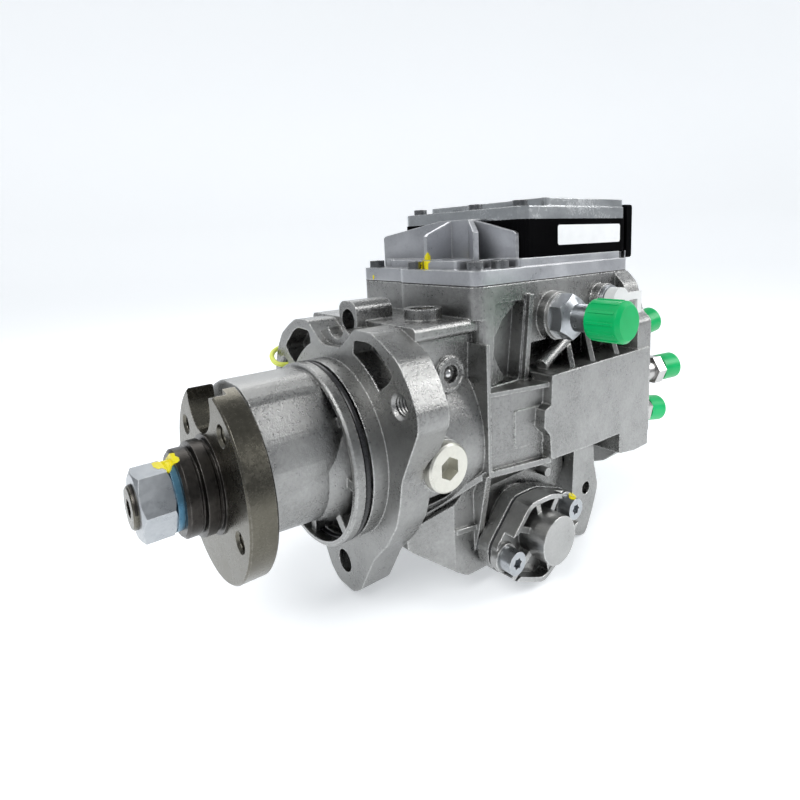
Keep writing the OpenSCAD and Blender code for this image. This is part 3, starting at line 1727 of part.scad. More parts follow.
module ecu_case() {
    color("#141416")
        difference() {
            union() {
                difference() {
                    ecu_box(0, raised_z, ecu_top_z);
                    ecu_box(ecu_wall, raised_z + ecu_wall, ecu_top_z + 1);
                }
                on_ecu_screws()
                    rod_z(ecu_screw_r + 2.2, raised_z + 1, ecu_top_z);
                for (x = [-ecu_w / 2 + 14, ecu_w / 2 - 14])
                    for (y = [ecu_y + 20, rear_y - 20])
                        rod_z(3, raised_z + 1, board_z, ecu_x + x, y);
            }
            on_ecu_screws()
                rod_z(ecu_screw_r, ecu_top_z - 12, ecu_top_z + 1);
        }
}

module control_board() {
    color("#1f6b3d")
        translate([0, 0, board_z])
            linear_extrude(board_t)
                square_board();
}

module square_board() {
    translate([ecu_x - ecu_w / 2 + 12, ecu_y + 13])
        square([ecu_w - 24, ecu_len - 26]);
}

module ecu_lid() {
    front = ecu_y + 24;
    left = ecu_x - ecu_w / 2;
    right = ecu_x + ecu_w / 2;
    color("#8d9194")
        difference() {
            union() {
                ecu_box(0.3, ecu_top_z, lid_top_z);
                translate([0, 0, lid_top_z - 1])
                    linear_extrude(ecu_plateau_h + 1)
                        difference() {
                            polygon(soften([[left + 3, front], [right - 22, front], [right - 18, front - 3],
                                [right - 1, front - 3], [right - 1, rear_y - 4], [left + 3, rear_y - 4]], 3));
                            on_ecu_screws()
                                circle(r = ecu_screw_head_r + 2);
                        }
            }
            on_ecu_screws()
                rod_z(ecu_screw_r + 0.3, ecu_top_z - 1, lid_top_z + 1);
            ecu_box(ecu_wall + 5, ecu_top_z - 1, ecu_top_z + 3);
        }
}

module ecu_screws() {
    color("#3b3e42")
        on_ecu_screws()
            difference() {
                union() {
                    rod_z(ecu_screw_r - seat_gap, ecu_top_z - 10, lid_top_z + 1);
                    rod_z(ecu_screw_head_r, lid_top_z, lid_top_z + 3.5);
                }
                translate([0, 0, lid_top_z + 1.5])
                    linear_extrude(3)
                        star(2.6);
            }
}

plug_plate_t = 6;
shroud_len = 14;

// The plug plate on the back of the control unit, with a hollow shroud round its pins
module ecu_connector() {
    mid_z = (cover_top_z + lid_top_z) / 2;
    color("#101012") {
        along_y(rear_y, rear_y + plug_plate_t)
            polygon(soften([[-52, cover_top_z], [ecu_x + ecu_w / 2 - 0.5, cover_top_z],
                [ecu_x + ecu_w / 2 - 0.5, lid_top_z + 2], [-52, lid_top_z + 2]], 2));
        difference() {
            along_y(rear_y + plug_plate_t - 1, rear_y + plug_plate_t + shroud_len)
                polygon(soften([[-33, mid_z - 12], [27, mid_z - 12], [27, mid_z + 12], [-33, mid_z + 12]], 4));
            along_y(rear_y + plug_plate_t, rear_y + plug_plate_t + shroud_len + 1)
                polygon(soften([[-31, mid_z - 10], [25, mid_z - 10], [25, mid_z + 10], [-31, mid_z + 10]], 3));
        }
        for (i = [0 : 8])
            translate([-27.8 + 6 * i, rear_y + plug_plate_t - 1, mid_z - 0.8])
                cube([1.6, 9, 1.6]);
    }
}

// Side fittings and plugs
return_x = box_half_w + 6;
return_washer_t = 1.5;
return_hex_len = 9;
return_spigot_r = return_cap_r - 2;
cap_end_t = 2.5;
cap_start_x = return_x + return_washer_t + return_hex_len + return_tube_len;

module return_valve() {
    hex_x0 = return_x + return_washer_t;
    hex_x1 = hex_x0 + return_hex_len;
    color("#c3c6c8")
        difference() {
            union() {
                rod_x(return_bore_r - seat_gap, chamber_half_w + 1, hex_x0 + 1, return_y, return_z);
                intersection() {
                    hex_x(return_flats, hex_x0, hex_x1, return_y, return_z);
                    translate([hex_x0, return_y, return_z])
                        rotate([0, 90, 0])
                            cylinder(r1 = return_flats / 2 + 1.7 * return_hex_len - 0.4,
                                r2 = return_flats / 2 - 0.4, h = return_hex_len);
                }
                translate([hex_x1, return_y, return_z])
                    rotate([0, 90, 0])
                        cylinder(r1 = return_flats / 2 - 0.5, r2 = return_spigot_r - 1.5, h = 2.5);
                rod_x(return_spigot_r - 1.5, hex_x1, cap_start_x + 1, return_y, return_z);
                rod_x(return_spigot_r, cap_start_x + 0.4, cap_start_x + return_cap_len - cap_end_t - 1,
                    return_y, return_z);
            }
            rod_x(3, chamber_half_w, cap_start_x + return_cap_len, return_y, return_z);
            translate([hex_x1 + 5, return_y, return_z])
                rotate([28, 0, 0])
                    rod_y(0.9, -20, 0);
        }
}

module return_seal_washer() {
    color("#b9a06a")
        difference() {
            rod_x(return_flats / 2 + 1.8, return_x, return_x + return_washer_t, return_y, return_z);
            rod_x(return_bore_r + 0.2, return_x - 1, return_x + return_washer_t + 1, return_y, return_z);
        }
}

module return_cap() {
    color("#0fbd6c")
        translate([cap_start_x, return_y, return_z])
            rotate([0, 90, 0])
                rib_cap(return_cap_r, return_cap_len, return_spigot_r + cap_gap, cap_end_t, 12);
}

cap_gap = 0.05;
inlet_collar_r = 11;
inlet_spigot_r = 7.5;
inlet_collar_end_x = return_x + 2.5;
inlet_spigot_end_x = inlet_collar_end_x + 5;
strap_t = 5;

module inlet_fitting() {
    color("#a9abac")
        difference() {
            union() {
                rod_x(inlet_bore_r - seat_gap, chamber_half_w + 1, return_x + 1, inlet_y, inlet_z);
                rod_x(inlet_collar_r, return_x, inlet_collar_end_x, inlet_y, inlet_z);
                rod_x(inlet_spigot_r, inlet_collar_end_x - 1, inlet_spigot_end_x, inlet_y, inlet_z);
            }
            rod_x(4, chamber_half_w, inlet_spigot_end_x + 1, inlet_y, inlet_z);
        }
}

// The inlet cap with its bent pull tab
module inlet_cap() {
    end_x = inlet_spigot_end_x + 2.5;
    strap_y = inlet_y + 25;
    strap_z = inlet_z + 5.5;
    color("#e4e5e3") {
        difference() {
            rod_x(inlet_spigot_r + 2.2, inlet_collar_end_x + 0.3, end_x, inlet_y, inlet_z);
            rod_x(inlet_spigot_r + cap_gap, inlet_collar_end_x - 1, inlet_spigot_end_x + 0.5,
                inlet_y, inlet_z);
        }
        along_x(end_x - 2, end_x)
            polygon([
                [inlet_y, strap_z - strap_t], [strap_y - strap_t, strap_z - strap_t],
                [strap_y - strap_t, inlet_z - 9], [strap_y, inlet_z - 9], [strap_y, strap_z],
                [inlet_y, strap_z]
            ]);
    }
}

module side_plug() {
    color("#d4d2c6")
        difference() {
            union() {
                rod_x(side_plug_thread_r - seat_gap, side_plug_x - 14, side_plug_x + 1, side_plug_y,
                    side_plug_z);
                rod_x(side_plug_r, side_plug_x, side_plug_x + side_plug_head_t - 1, side_plug_y,
                    side_plug_z);
                translate([side_plug_x + side_plug_head_t - 1, side_plug_y, side_plug_z])
                    rotate([0, 90, 0])
                        cylinder(r1 = side_plug_r, r2 = side_plug_r - 1, h = 1);
            }
            hex_x(side_plug_socket, side_plug_x - 3, side_plug_x + side_plug_head_t + 1,
                side_plug_y, side_plug_z);
        }
}

module ball_plug() {
    color("#b8b8b4")
        translate([neck_half_w - 3, ball_plug_y, ball_plug_z])
            sphere(r = ball_plug_ball_r - seat_gap);
}

module neck_plug() {
    color("#5e5e5c")
        difference() {
            rod_z(neck_plug_r - seat_gap, neck_top_z - 2, neck_top_z + 5, neck_boss_x, neck_boss_y);
            rod_z(neck_plug_r - 2, neck_top_z, neck_top_z + 6, neck_boss_x, neck_boss_y);
        }
}

pump_housing();
pilot_seal_ring();
shaft_seal();
bearing_outer_ring();
bearing_balls();
bearing_inner_ring();
rear_bush();
drive_shaft();
shaft_key();
drive_hub();
hub_collar();
lock_washer();
shaft_nut();
vane_ring();
vane_plate();
vane_rotor();
vanes();
trigger_wheel();
angle_sensor();
coupling_cross();
roller_ring();
cam_roller_1();
cam_roller_2();
cam_roller_3();
cam_plate();
plunger();
spring_bridge();
plunger_springs();
distributor_head();
head_seal_ring();
head_bolts();
solenoid_valve();
valve_needle();
outlet_holders();
outlet_caps();
timing_piston();
timing_spring();
timing_cover();
timing_cover_gasket();
timing_cover_bolts();
spring_cover();
spring_cover_gasket();
spring_cover_bolts();
housing_cover();
cover_gasket();
cover_bolts();
ecu_case();
ecu_lid();
control_board();
ecu_screws();
ecu_connector();
return_valve();
return_seal_washer();
return_cap();
inlet_fitting();
inlet_cap();
side_plug();
ball_plug();
neck_plug();
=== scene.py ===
import json
import math

import bmesh
import bpy
from mathutils import Matrix, Vector


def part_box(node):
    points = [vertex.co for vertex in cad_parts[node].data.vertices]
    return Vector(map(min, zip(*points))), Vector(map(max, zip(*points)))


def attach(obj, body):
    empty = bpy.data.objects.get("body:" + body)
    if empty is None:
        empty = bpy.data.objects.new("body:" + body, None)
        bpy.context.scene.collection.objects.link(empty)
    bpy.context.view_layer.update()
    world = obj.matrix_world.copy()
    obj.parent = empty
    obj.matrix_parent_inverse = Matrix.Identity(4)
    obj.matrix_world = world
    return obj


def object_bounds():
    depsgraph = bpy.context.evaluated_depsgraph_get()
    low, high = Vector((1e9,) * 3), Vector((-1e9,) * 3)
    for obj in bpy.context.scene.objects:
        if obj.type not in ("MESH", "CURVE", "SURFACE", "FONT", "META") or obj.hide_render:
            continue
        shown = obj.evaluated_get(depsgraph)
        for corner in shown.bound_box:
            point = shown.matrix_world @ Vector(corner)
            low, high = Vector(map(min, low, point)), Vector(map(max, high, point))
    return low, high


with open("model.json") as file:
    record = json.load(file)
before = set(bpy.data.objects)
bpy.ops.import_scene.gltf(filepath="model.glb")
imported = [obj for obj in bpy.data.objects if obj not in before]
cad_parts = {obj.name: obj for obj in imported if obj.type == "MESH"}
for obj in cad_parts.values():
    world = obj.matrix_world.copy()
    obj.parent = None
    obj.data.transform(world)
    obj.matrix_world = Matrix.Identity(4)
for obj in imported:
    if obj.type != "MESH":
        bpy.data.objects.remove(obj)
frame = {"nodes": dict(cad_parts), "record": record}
cad_box = [list(map(float, corner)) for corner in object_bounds()]
nodes = frame["nodes"]
slot_of = {s["node"]: s["material_slot"] for s in frame["record"]["subparts"]}


# Materials

BEVEL_SAMPLES = 4
HOLLOW_SAMPLES = 6
# How open a face and a deep pocket are, as ambient occlusion
OPEN_FACE, DEEP_POCKET = 0.75, 0.25


class Graph:
    """A small helper that adds shader nodes and links them."""

    def __init__(self, name):
        self.material = bpy.data.materials.new(name)
        self.material.use_nodes = True
        self.tree = self.material.node_tree
        self.tree.nodes.clear()
        self.out = self.add("ShaderNodeOutputMaterial")
        self.shader = self.add("ShaderNodeBsdfPrincipled")
        self.link(self.shader.outputs[0], self.out.inputs["Surface"])
        self.coord = self.add("ShaderNodeTexCoord").outputs["Object"]

    def add(self, kind, **values):
        """Adds a node and sets its properties."""
        node = self.tree.nodes.new(kind)
        for key, value in values.items():
            setattr(node, key, value)
        return node

    def link(self, a, b):
        self.tree.links.new(a, b)

    def feed(self, socket, value):
        """Links an output to the socket, or sets a number on it."""
        if isinstance(value, bpy.types.NodeSocket):
            self.link(value, socket)
        else:
            socket.default_value = value

    def noise(self, scale, detail=4.0, rough=0.55):
        """Noise in the piece's own coordinates."""
        node = self.add("ShaderNodeTexNoise")
        self.link(self.coord, node.inputs["Vector"])
        node.inputs["Scale"].default_value = scale
        node.inputs["Detail"].default_value = detail
        node.inputs["Roughness"].default_value = rough
        return node.outputs["Fac"]

    def math(self, how, a, b=0.0, clamp=False):
        node = self.add("ShaderNodeMath", operation=how, use_clamp=clamp)
        self.feed(node.inputs[0], a)
        self.feed(node.inputs[1], b)
        return node.outputs[0]

    def ramp(self, value, low, high, out_low=0.0, out_high=1.0):
        """Maps low to high onto out_low to out_high, and holds it there."""
        node = self.add("ShaderNodeMapRange", clamp=True)
        self.feed(node.inputs["Value"], value)
        node.inputs["From Min"].default_value = low
        node.inputs["From Max"].default_value = high
        node.inputs["To Min"].default_value = out_low
        node.inputs["To Max"].default_value = out_high
        return node.outputs[0]

    def mix(self, factor, a, b):
        """Mixes two colours, each an output or three numbers."""
        node = self.add("ShaderNodeMix", data_type="RGBA")
        self.feed(node.inputs["Factor"], factor)
        for socket, value in ((node.inputs["A"], a), (node.inputs["B"], b)):
            if isinstance(value, bpy.types.NodeSocket):
                self.link(value, socket)
            else:
                socket.default_value = (*value, 1.0)
        return node.outputs["Result"]

    def edges(self, radius, gain=3.0):
        """1 near sharp edges, 0 on open faces."""
        bevel = self.add("ShaderNodeBevel", samples=BEVEL_SAMPLES)
        bevel.inputs["Radius"].default_value = radius
        geometry = self.add("ShaderNodeNewGeometry")
        dot = self.add("ShaderNodeVectorMath", operation="DOT_PRODUCT")
        self.link(bevel.outputs[0], dot.inputs[0])
        self.link(geometry.outputs["Normal"], dot.inputs[1])
        return self.math("MULTIPLY", self.math("SUBTRACT", 1.0, dot.outputs["Value"]), gain, clamp=True)

    def hollows(self, distance):
        """1 deep in corners and pockets, 0 on open faces."""
        node = self.add("ShaderNodeAmbientOcclusion", samples=HOLLOW_SAMPLES)
        node.inputs["Distance"].default_value = distance
        return self.ramp(node.outputs["AO"], OPEN_FACE, DEEP_POCKET)

    def bumps(self, layers, radius=0.0):
        """Stacks bumps of (height, distance, strength) on rounded edges."""
        normal = None
        if radius:
            bevel = self.add("ShaderNodeBevel", samples=BEVEL_SAMPLES)
            bevel.inputs["Radius"].default_value = radius
            normal = bevel.outputs[0]
        for height, distance, strength in layers:
            bump = self.add("ShaderNodeBump")
            bump.inputs["Distance"].default_value = distance
            bump.inputs["Strength"].default_value = strength
            self.link(height, bump.inputs["Height"])
            if normal is not None:
                self.link(normal, bump.inputs["Normal"])
            normal = bump.outputs[0]
        self.link(normal, self.shader.inputs["Normal"])


# Colour of the brighter edges: partly wear, partly painted highlight on rounded edges
LIGHT_EDGE = (0.92, 0.92, 0.90)
# Colour of the painted shade in corners and pockets
POCKET_SHADE_COLOUR = (0.035, 0.034, 0.032)
# Depth of the pockets that get the painted shade, in metres
POCKET_SHADE_REACH = 0.016
METAL_BLOTCH = 35.0
# How far the roughness goes below and above its middle
METAL_GLOSS, METAL_DULL = 0.09, 0.1
PLASTIC_GLOSS, PLASTIC_DULL = 0.06, 0.08
PLASTIC_EDGE_WIDTH = 0.0012
PLASTIC_EDGE_AMOUNT = 0.35
# How deep light goes into plastic, in metres
SKIN_DEPTH = 0.004


def metal(name, dark, light, rough, grain, grain_depth, metallic=1.0, edge=None, edge_amount=0.5,
          round_r=0.0004, pocket_shade=0.0, edge_width=0.0011):
    """A metal skin with blotches, grain, uneven gloss, brighter edges (partly wear, partly painted
    highlight) and painted shade in its corners.
    """
    g = Graph(name)
    big = g.noise(METAL_BLOTCH, 5.0, 0.6)
    fine = g.noise(grain, 3.0, 0.6)
    speck = g.noise(grain * 0.35, 6.0, 0.7)
    shade = g.math("ADD", g.math("MULTIPLY", big, 0.6), g.math("MULTIPLY", speck, 0.4))
    colour = g.mix(g.ramp(shade, 0.36, 0.64), dark, light)
    # Brighter edges: partly wear, partly painted highlight where rounded edges catch light
    if edge:
        worn_and_lit_edge = g.math("MULTIPLY", g.edges(edge_width), g.ramp(speck, 0.35, 0.6))
        colour = g.mix(g.math("MULTIPLY", worn_and_lit_edge, edge_amount, clamp=True), colour, edge)
    # Painted shade: the base colour goes dark in corners and pockets, by ambient occlusion
    if pocket_shade:
        colour = g.mix(g.math("MULTIPLY", g.hollows(POCKET_SHADE_REACH), pocket_shade), colour, POCKET_SHADE_COLOUR)
    g.link(colour, g.shader.inputs["Base Color"])
    g.shader.inputs["Metallic"].default_value = metallic
    gloss = g.ramp(g.math("ADD", speck, big), 0.7, 1.3, rough - METAL_GLOSS, rough + METAL_DULL)
    g.link(gloss, g.shader.inputs["Roughness"])
    g.bumps([(speck, grain_depth * 2.0, 0.5), (fine, grain_depth, 0.6)], round_r)
    return g.material


def plastic(name, dark, light, rough, grain=900.0, depth=0.00005, subsurface=0.0, blotch=25.0,
            round_r=0.0005, specular=0.5):
    """A plastic, rubber or painted skin with soft blotches, fine grain and paler edges."""
    g = Graph(name)
    g.shader.inputs["Specular IOR Level"].default_value = specular
    big = g.noise(blotch, 4.0)
    fine = g.noise(grain, 3.0)
    colour = g.mix(g.ramp(big, 0.35, 0.65), dark, light)
    rim = g.math("MULTIPLY", g.edges(PLASTIC_EDGE_WIDTH), PLASTIC_EDGE_AMOUNT)
    colour = g.mix(rim, colour, tuple(min(1.0, c * 1.35 + 0.02) for c in light))
    g.link(colour, g.shader.inputs["Base Color"])
    gloss = g.ramp(g.math("ADD", fine, big), 0.7, 1.3, rough - PLASTIC_GLOSS, rough + PLASTIC_DULL)
    g.link(gloss, g.shader.inputs["Roughness"])
    g.shader.inputs["Subsurface Weight"].default_value = subsurface
    g.shader.inputs["Subsurface Radius"].default_value = (SKIN_DEPTH, SKIN_DEPTH, SKIN_DEPTH)
    g.bumps([(fine, depth, 0.6)], round_r)
    return g.material


materials = {
    "cast_aluminium": metal("cast_aluminium", (0.25, 0.25, 0.245), (0.41, 0.41, 0.403), 0.30, 1500.0,
                            0.00024, edge=LIGHT_EDGE, edge_amount=0.9, round_r=0.0009, pocket_shade=0.3,
                            edge_width=0.0017),
    "cover_aluminium": metal("cover_aluminium", (0.55, 0.56, 0.585), (0.68, 0.69, 0.715), 0.34, 1900.0,
                             0.00006, edge=LIGHT_EDGE, edge_amount=1.0, round_r=0.0008, pocket_shade=0.5),
    "machined_steel": metal("machined_steel", (0.42, 0.41, 0.40), (0.58, 0.57, 0.56), 0.30, 900.0,
                            0.00003, edge=LIGHT_EDGE),
    "dark_steel": metal("dark_steel", (0.098, 0.092, 0.074), (0.155, 0.146, 0.12), 0.26, 1400.0, 0.00005,
                        edge=(0.55, 0.53, 0.5), edge_amount=0.6),
    "black_steel": metal("black_steel", (0.02, 0.018, 0.017), (0.07, 0.064, 0.058), 0.32, 1200.0,
                         0.00004, edge=(0.4, 0.38, 0.36), edge_amount=0.5),
    "zinc_steel": metal("zinc_steel", (0.37, 0.39, 0.41), (0.50, 0.52, 0.54), 0.32, 800.0, 0.00003,
                        edge=LIGHT_EDGE),
    "bearing_steel": metal("bearing_steel", (0.6, 0.6, 0.6), (0.72, 0.72, 0.72), 0.2, 900.0, 0.00001),
    "washer_blue": metal("washer_blue", (0.05, 0.15, 0.24), (0.11, 0.27, 0.38), 0.34, 900.0, 0.00003,
                         metallic=0.6, edge=(0.6, 0.68, 0.72), edge_amount=0.5),
    "bronze": metal("bronze", (0.4, 0.27, 0.13), (0.55, 0.4, 0.22), 0.35, 900.0, 0.00003),
    "seal_washer": metal("seal_washer", (0.5, 0.5, 0.49), (0.66, 0.66, 0.65), 0.35, 900.0, 0.00003),
    "spring_steel": metal("spring_steel", (0.12, 0.13, 0.14), (0.2, 0.21, 0.22), 0.35, 900.0, 0.00003),
    "lid_metal": metal("lid_metal", (0.56, 0.58, 0.59), (0.72, 0.74, 0.75), 0.22, 1500.0, 0.00003,
                       edge=LIGHT_EDGE, edge_amount=0.6, round_r=0.0008),
    "plug_metal": metal("plug_metal", (0.62, 0.61, 0.55), (0.78, 0.77, 0.70), 0.34, 1000.0, 0.00004,
                        metallic=0.85, edge=LIGHT_EDGE),
    "seal_rubber": plastic("seal_rubber", (0.008, 0.008, 0.009), (0.018, 0.018, 0.02), 0.25),
    "gasket": plastic("gasket", (0.015, 0.015, 0.017), (0.035, 0.035, 0.037), 0.6),
    "ecu_plastic": plastic("ecu_plastic", (0.0012, 0.0012, 0.0015), (0.003, 0.003, 0.0035), 0.55,
                           specular=0.01),
    "board": plastic("board", (0.01, 0.1, 0.04), (0.02, 0.16, 0.07), 0.4),
    "green_cap": plastic("green_cap", (0.0, 0.44, 0.12), (0.0, 0.56, 0.17), 0.34, depth=0.00003,
                         subsurface=0.1, specular=0.3),
    "white_cap": plastic("white_cap", (0.74, 0.75, 0.74), (0.84, 0.85, 0.84), 0.4, subsurface=0.2),
}
timing_grey = metal("timing_grey", (0.36, 0.36, 0.355), (0.50, 0.50, 0.49), 0.33, 1700.0, 0.00007,
                    edge=LIGHT_EDGE, edge_amount=1.0, round_r=0.0008, pocket_shade=0.5, edge_width=0.0015)
screw_grey = metal("screw_grey", (0.16, 0.165, 0.17), (0.30, 0.305, 0.31), 0.26, 1200.0, 0.00004,
                   edge=LIGHT_EDGE, edge_amount=0.7)
paint_yellow = plastic("paint_yellow", (0.86, 0.72, 0.0), (0.95, 0.84, 0.01), 0.4, grain=500.0, depth=0.0002)
tie_yellow = plastic("tie_yellow", (0.74, 0.84, 0.10), (0.88, 0.95, 0.22), 0.45, subsurface=0.2)
# Nodes that look unlike the rest of their slot
node_looks = {"ecu_screws": screw_grey, "cover_bolts": screw_grey, "timing_cover": timing_grey,
              "spring_cover": timing_grey}
label_paper = plastic("label_paper", (0.90, 0.91, 0.92), (0.95, 0.96, 0.97), 0.5, blotch=120.0)

for name, node in nodes.items():
    material = node_looks.get(name, materials[slot_of[name]])
    node.data.materials.clear()
    node.data.materials.append(material)


# Small pieces

MM = 0.001


def add_piece(name, points, faces, material, body, smooth=False):
    """A mesh piece from points in millimetres; points that no face uses are dropped."""
    used = sorted({i for face in faces for i in face})
    place = {old: new for new, old in enumerate(used)}
    mesh = bpy.data.meshes.new(name)
    mesh.from_pydata([tuple(c * MM for c in points[i]) for i in used], [],
                     [tuple(place[i] for i in face) for face in faces])
    mesh.materials.append(material)
    for polygon in mesh.polygons:
        polygon.use_smooth = smooth
    mesh.update()
    piece = bpy.data.objects.new(name, mesh)
    bpy.context.scene.collection.objects.link(piece)
    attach(piece, body)


def ragged(seed, a):
    """A small repeatable wobble between -1 and 1."""
    return 0.6 * math.sin(3.1 * a + seed) + 0.4 * math.sin(7.3 * a + 2.0 * seed)


DAB_SIDES = 36
# Height of the dab's middle over the surface, in millimetres
DAB_MIDDLE = 0.22
# Each ring's share of the reach, and its height over the surface in millimetres
DAB_RINGS = ((0.45, 0.24), (0.8, 0.2), (0.96, 0.12), (1.0, 0.02))
DAB_WOBBLE = 0.22


def paint_patch(name, surface, half_u, half_v, body, seed):
    """A dab of paint on surface(u, v, lift), with a ragged rim and a raised middle."""
    count = DAB_SIDES
    points = [surface(0.0, 0.0, DAB_MIDDLE)]
    for reach, lift in DAB_RINGS:
        for i in range(count):
            a = 2 * math.pi * i / count
            r = reach * (1.0 + DAB_WOBBLE * ragged(seed, a))
            points.append(surface(half_u * r * math.cos(a), half_v * r * math.sin(a), lift))
    faces = [(0, 1 + i, 1 + (i + 1) % count) for i in range(count)]
    for k in range(len(DAB_RINGS) - 1):
        for i in range(count):
            a, b = 1 + k * count + i, 1 + k * count + (i + 1) % count
            faces.append((a, a + count, b + count, b))
    add_piece(name, points, faces, paint_yellow, body, smooth=True)


def flat(origin, u_axis, v_axis):
    """A plane: u and v run along its axes from the origin, and lift goes square to both."""
    o, ua, va = Vector(origin), Vector(u_axis).normalized(), Vector(v_axis).normalized()
    n = ua.cross(va)
    return lambda u, v, lift: tuple(o + ua * u + va * v + n * lift)


# The place the photo was taken from, in metres, with its picture axes and its focal length in pixels
EYE = Vector((0.2589, -0.1418, 0.1120))
EYE_RIGHT = Vector((0.6483, 0.7606, -0.0360))
EYE_UP = Vector((-0.0975, 0.1297, 0.9867))
EYE_BACK = Vector((0.7551, -0.6362, 0.1582))
FOCAL, CENTRE_X, CENTRE_Y = 539.4, 436.6, 325.7


def inside_by(outline, x, y):
    """How far a picture point lies inside the outline, in pixels; negative outside."""
    inside, nearest = False, 1e9
    for (x0, y0), (x1, y1) in zip(outline, outline[1:] + outline[:1]):
        if (y0 > y) != (y1 > y) and x < x0 + (x1 - x0) * (y - y0) / (y1 - y0):
            inside = not inside
        along = (x - x0) * (x1 - x0) + (y - y0) * (y1 - y0)
        t = max(0.0, min(1.0, along / ((x1 - x0) ** 2 + (y1 - y0) ** 2)))
        nearest = min(nearest, math.hypot(x - x0 - t * (x1 - x0), y - y0 - t * (y1 - y0)))
    return nearest if inside else -nearest


# Distance of the rays in pixels, and the paint's height at its rim, its rise per pixel and its full height
PAINT_STEP = 0.45
PAINT_RIM, PAINT_RISE, PAINT_FULL = 0.02, 0.12, 0.2
# The paint breaks where the surface behind it drops back by more than this, in millimetres
PAINT_BREAK = 2.2


def paint_over(name, outline, body):
    """A dab of paint over all the faces that an outline covers when seen from the photo's place."""
    step = PAINT_STEP
    bpy.context.view_layer.update()
    depsgraph = bpy.context.evaluated_depsgraph_get()
    x0, y0 = min(x for x, y in outline) - 1, min(y for x, y in outline) - 1
    columns = int((max(x for x, y in outline) + 1 - x0) / step)
    rows = int((max(y for x, y in outline) + 1 - y0) / step)
    points, index, depth = [], {}, {}
    for i in range(columns + 1):
        for j in range(rows + 1):
            x, y = x0 + i * step, y0 + j * step
            rim = inside_by(outline, x, y)
            if rim < 0:
                continue
            ray = (EYE_RIGHT * (x - CENTRE_X) - EYE_UP * (y - CENTRE_Y)) / FOCAL - EYE_BACK
            hit, place, normal = bpy.context.scene.ray_cast(depsgraph, EYE, ray.normalized())[:3]
            if not hit:
                continue
            index[i, j] = len(points)
            depth[i, j] = (place - EYE).length / MM
            lift = min(PAINT_FULL, PAINT_RIM + PAINT_RISE * rim)
            points.append(tuple(c / MM + n * lift for c, n in zip(place, normal)))
    faces = []
    for i, j in index:
        corners = [(i, j), (i, j + 1), (i + 1, j + 1), (i + 1, j)]
        if all(c in index for c in corners):
            near = [depth[c] for c in corners]
            if max(near) - min(near) < PAINT_BREAK:
                faces.append(tuple(index[c] for c in corners))
    add_piece(name, points, faces, paint_yellow, body, smooth=True)


# The label's box on the side of the control unit, its round corners and its back and front, in millimetres
LABEL_Y, LABEL_Z, LABEL_ROUND = (128.2, 196.8), (105.9, 118.0), 1.6
LABEL_BACK, LABEL_FRONT = 0.02, 0.14


def label_piece():
    """The bare white label on the side of the control unit, with rounded corners."""
    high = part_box("ecu_case")[1]
    x = high[0] / MM
    (y0, y1), (z0, z1), r = LABEL_Y, LABEL_Z, LABEL_ROUND
    corners = ((y1 - r, z1 - r, 0), (y0 + r, z1 - r, 90), (y0 + r, z0 + r, 180), (y1 - r, z0 + r, 270))
    outline = []
    for cy, cz, start in corners:
        for k in range(7):
            a = math.radians(start + 15 * k)
            outline.append((cy + r * math.cos(a), cz + r * math.sin(a)))
    n = len(outline)
    points = [(x + step, y, z) for step in (LABEL_BACK, LABEL_FRONT) for y, z in outline]
    faces = [tuple(range(n, 2 * n))] + [(i, (i + 1) % n, n + (i + 1) % n, n + i) for i in range(n)]
    add_piece("label_blank", points, faces, label_paper, "housing")


# Radius, pitch and depth of each kind of thread, in millimetres
FLANGE_THREAD = (5.12, 1.75, -0.75)
HUB_THREAD = (4.27, 1.5, -0.65)
SHAFT_THREAD = (9.98, 1.5, 0.35)
FLANGE_THREAD_Y = (1.5, 19.0)
HUB_THREAD_INSET = 1.2
# From the shaft's front, and from the nut's front
SHAFT_THREAD_START, SHAFT_THREAD_END = 0.5, 1.2
# Share of the depth and of the pitch at the four corners of the ridge
RIDGE = ((0, 0.08), (1, 0.42), (1, 0.58), (0, 0.92))


def thread_piece(name, centre, r, pitch, depth, y0, y1, body, material, slot, steps=28):
    """A thread as one helical ridge along Y; a negative depth points inwards."""
    turns = (y1 - y0 - pitch) / pitch
    count = int(turns * steps)
    points, faces = [], []
    for i in range(count + 1):
        a = 2 * math.pi * i / steps
        y = y0 + pitch * i / steps
        for out, rise in RIDGE:
            radius = r + depth * out
            points.append((centre[0] + radius * math.cos(a), y + rise * pitch,
                           centre[1] + radius * math.sin(a)))
        if i:
            k = 4 * (i - 1)
            faces += [(k + j, k + j + 4, k + j + 5, k + j + 1) for j in range(3)]
    add_piece(name, points, faces, material, body, smooth=True)


mount_at = {m["name"]: [c / MM for c in m["pos_m"]] for m in frame["record"]["mounts"]}
label_piece()
for side in ("right", "left"):
    spot = mount_at["flange_thread_" + side]
    thread_piece("flange_thread_" + side, (spot[0], spot[2]), *FLANGE_THREAD, *FLANGE_THREAD_Y,
                 "housing", materials["cast_aluminium"], "cast_aluminium")
hub_low, hub_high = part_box("drive_hub")
for i in range(1, 5):
    spot = mount_at["hub_thread_%d" % i]
    thread_piece("hub_thread_%d" % i, (spot[0], spot[2]), *HUB_THREAD,
                 hub_low[1] / MM + HUB_THREAD_INSET, hub_high[1] / MM, "drive_shaft",
                 materials["dark_steel"], "dark_steel")
shaft_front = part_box("drive_shaft")[0][1] / MM
nut_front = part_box("shaft_nut")[0][1] / MM
thread_piece("shaft_end_thread", (0.0, 0.0), *SHAFT_THREAD, shaft_front + SHAFT_THREAD_START,
             nut_front + SHAFT_THREAD_END, "drive_shaft", materials["black_steel"], "black_steel", steps=48)

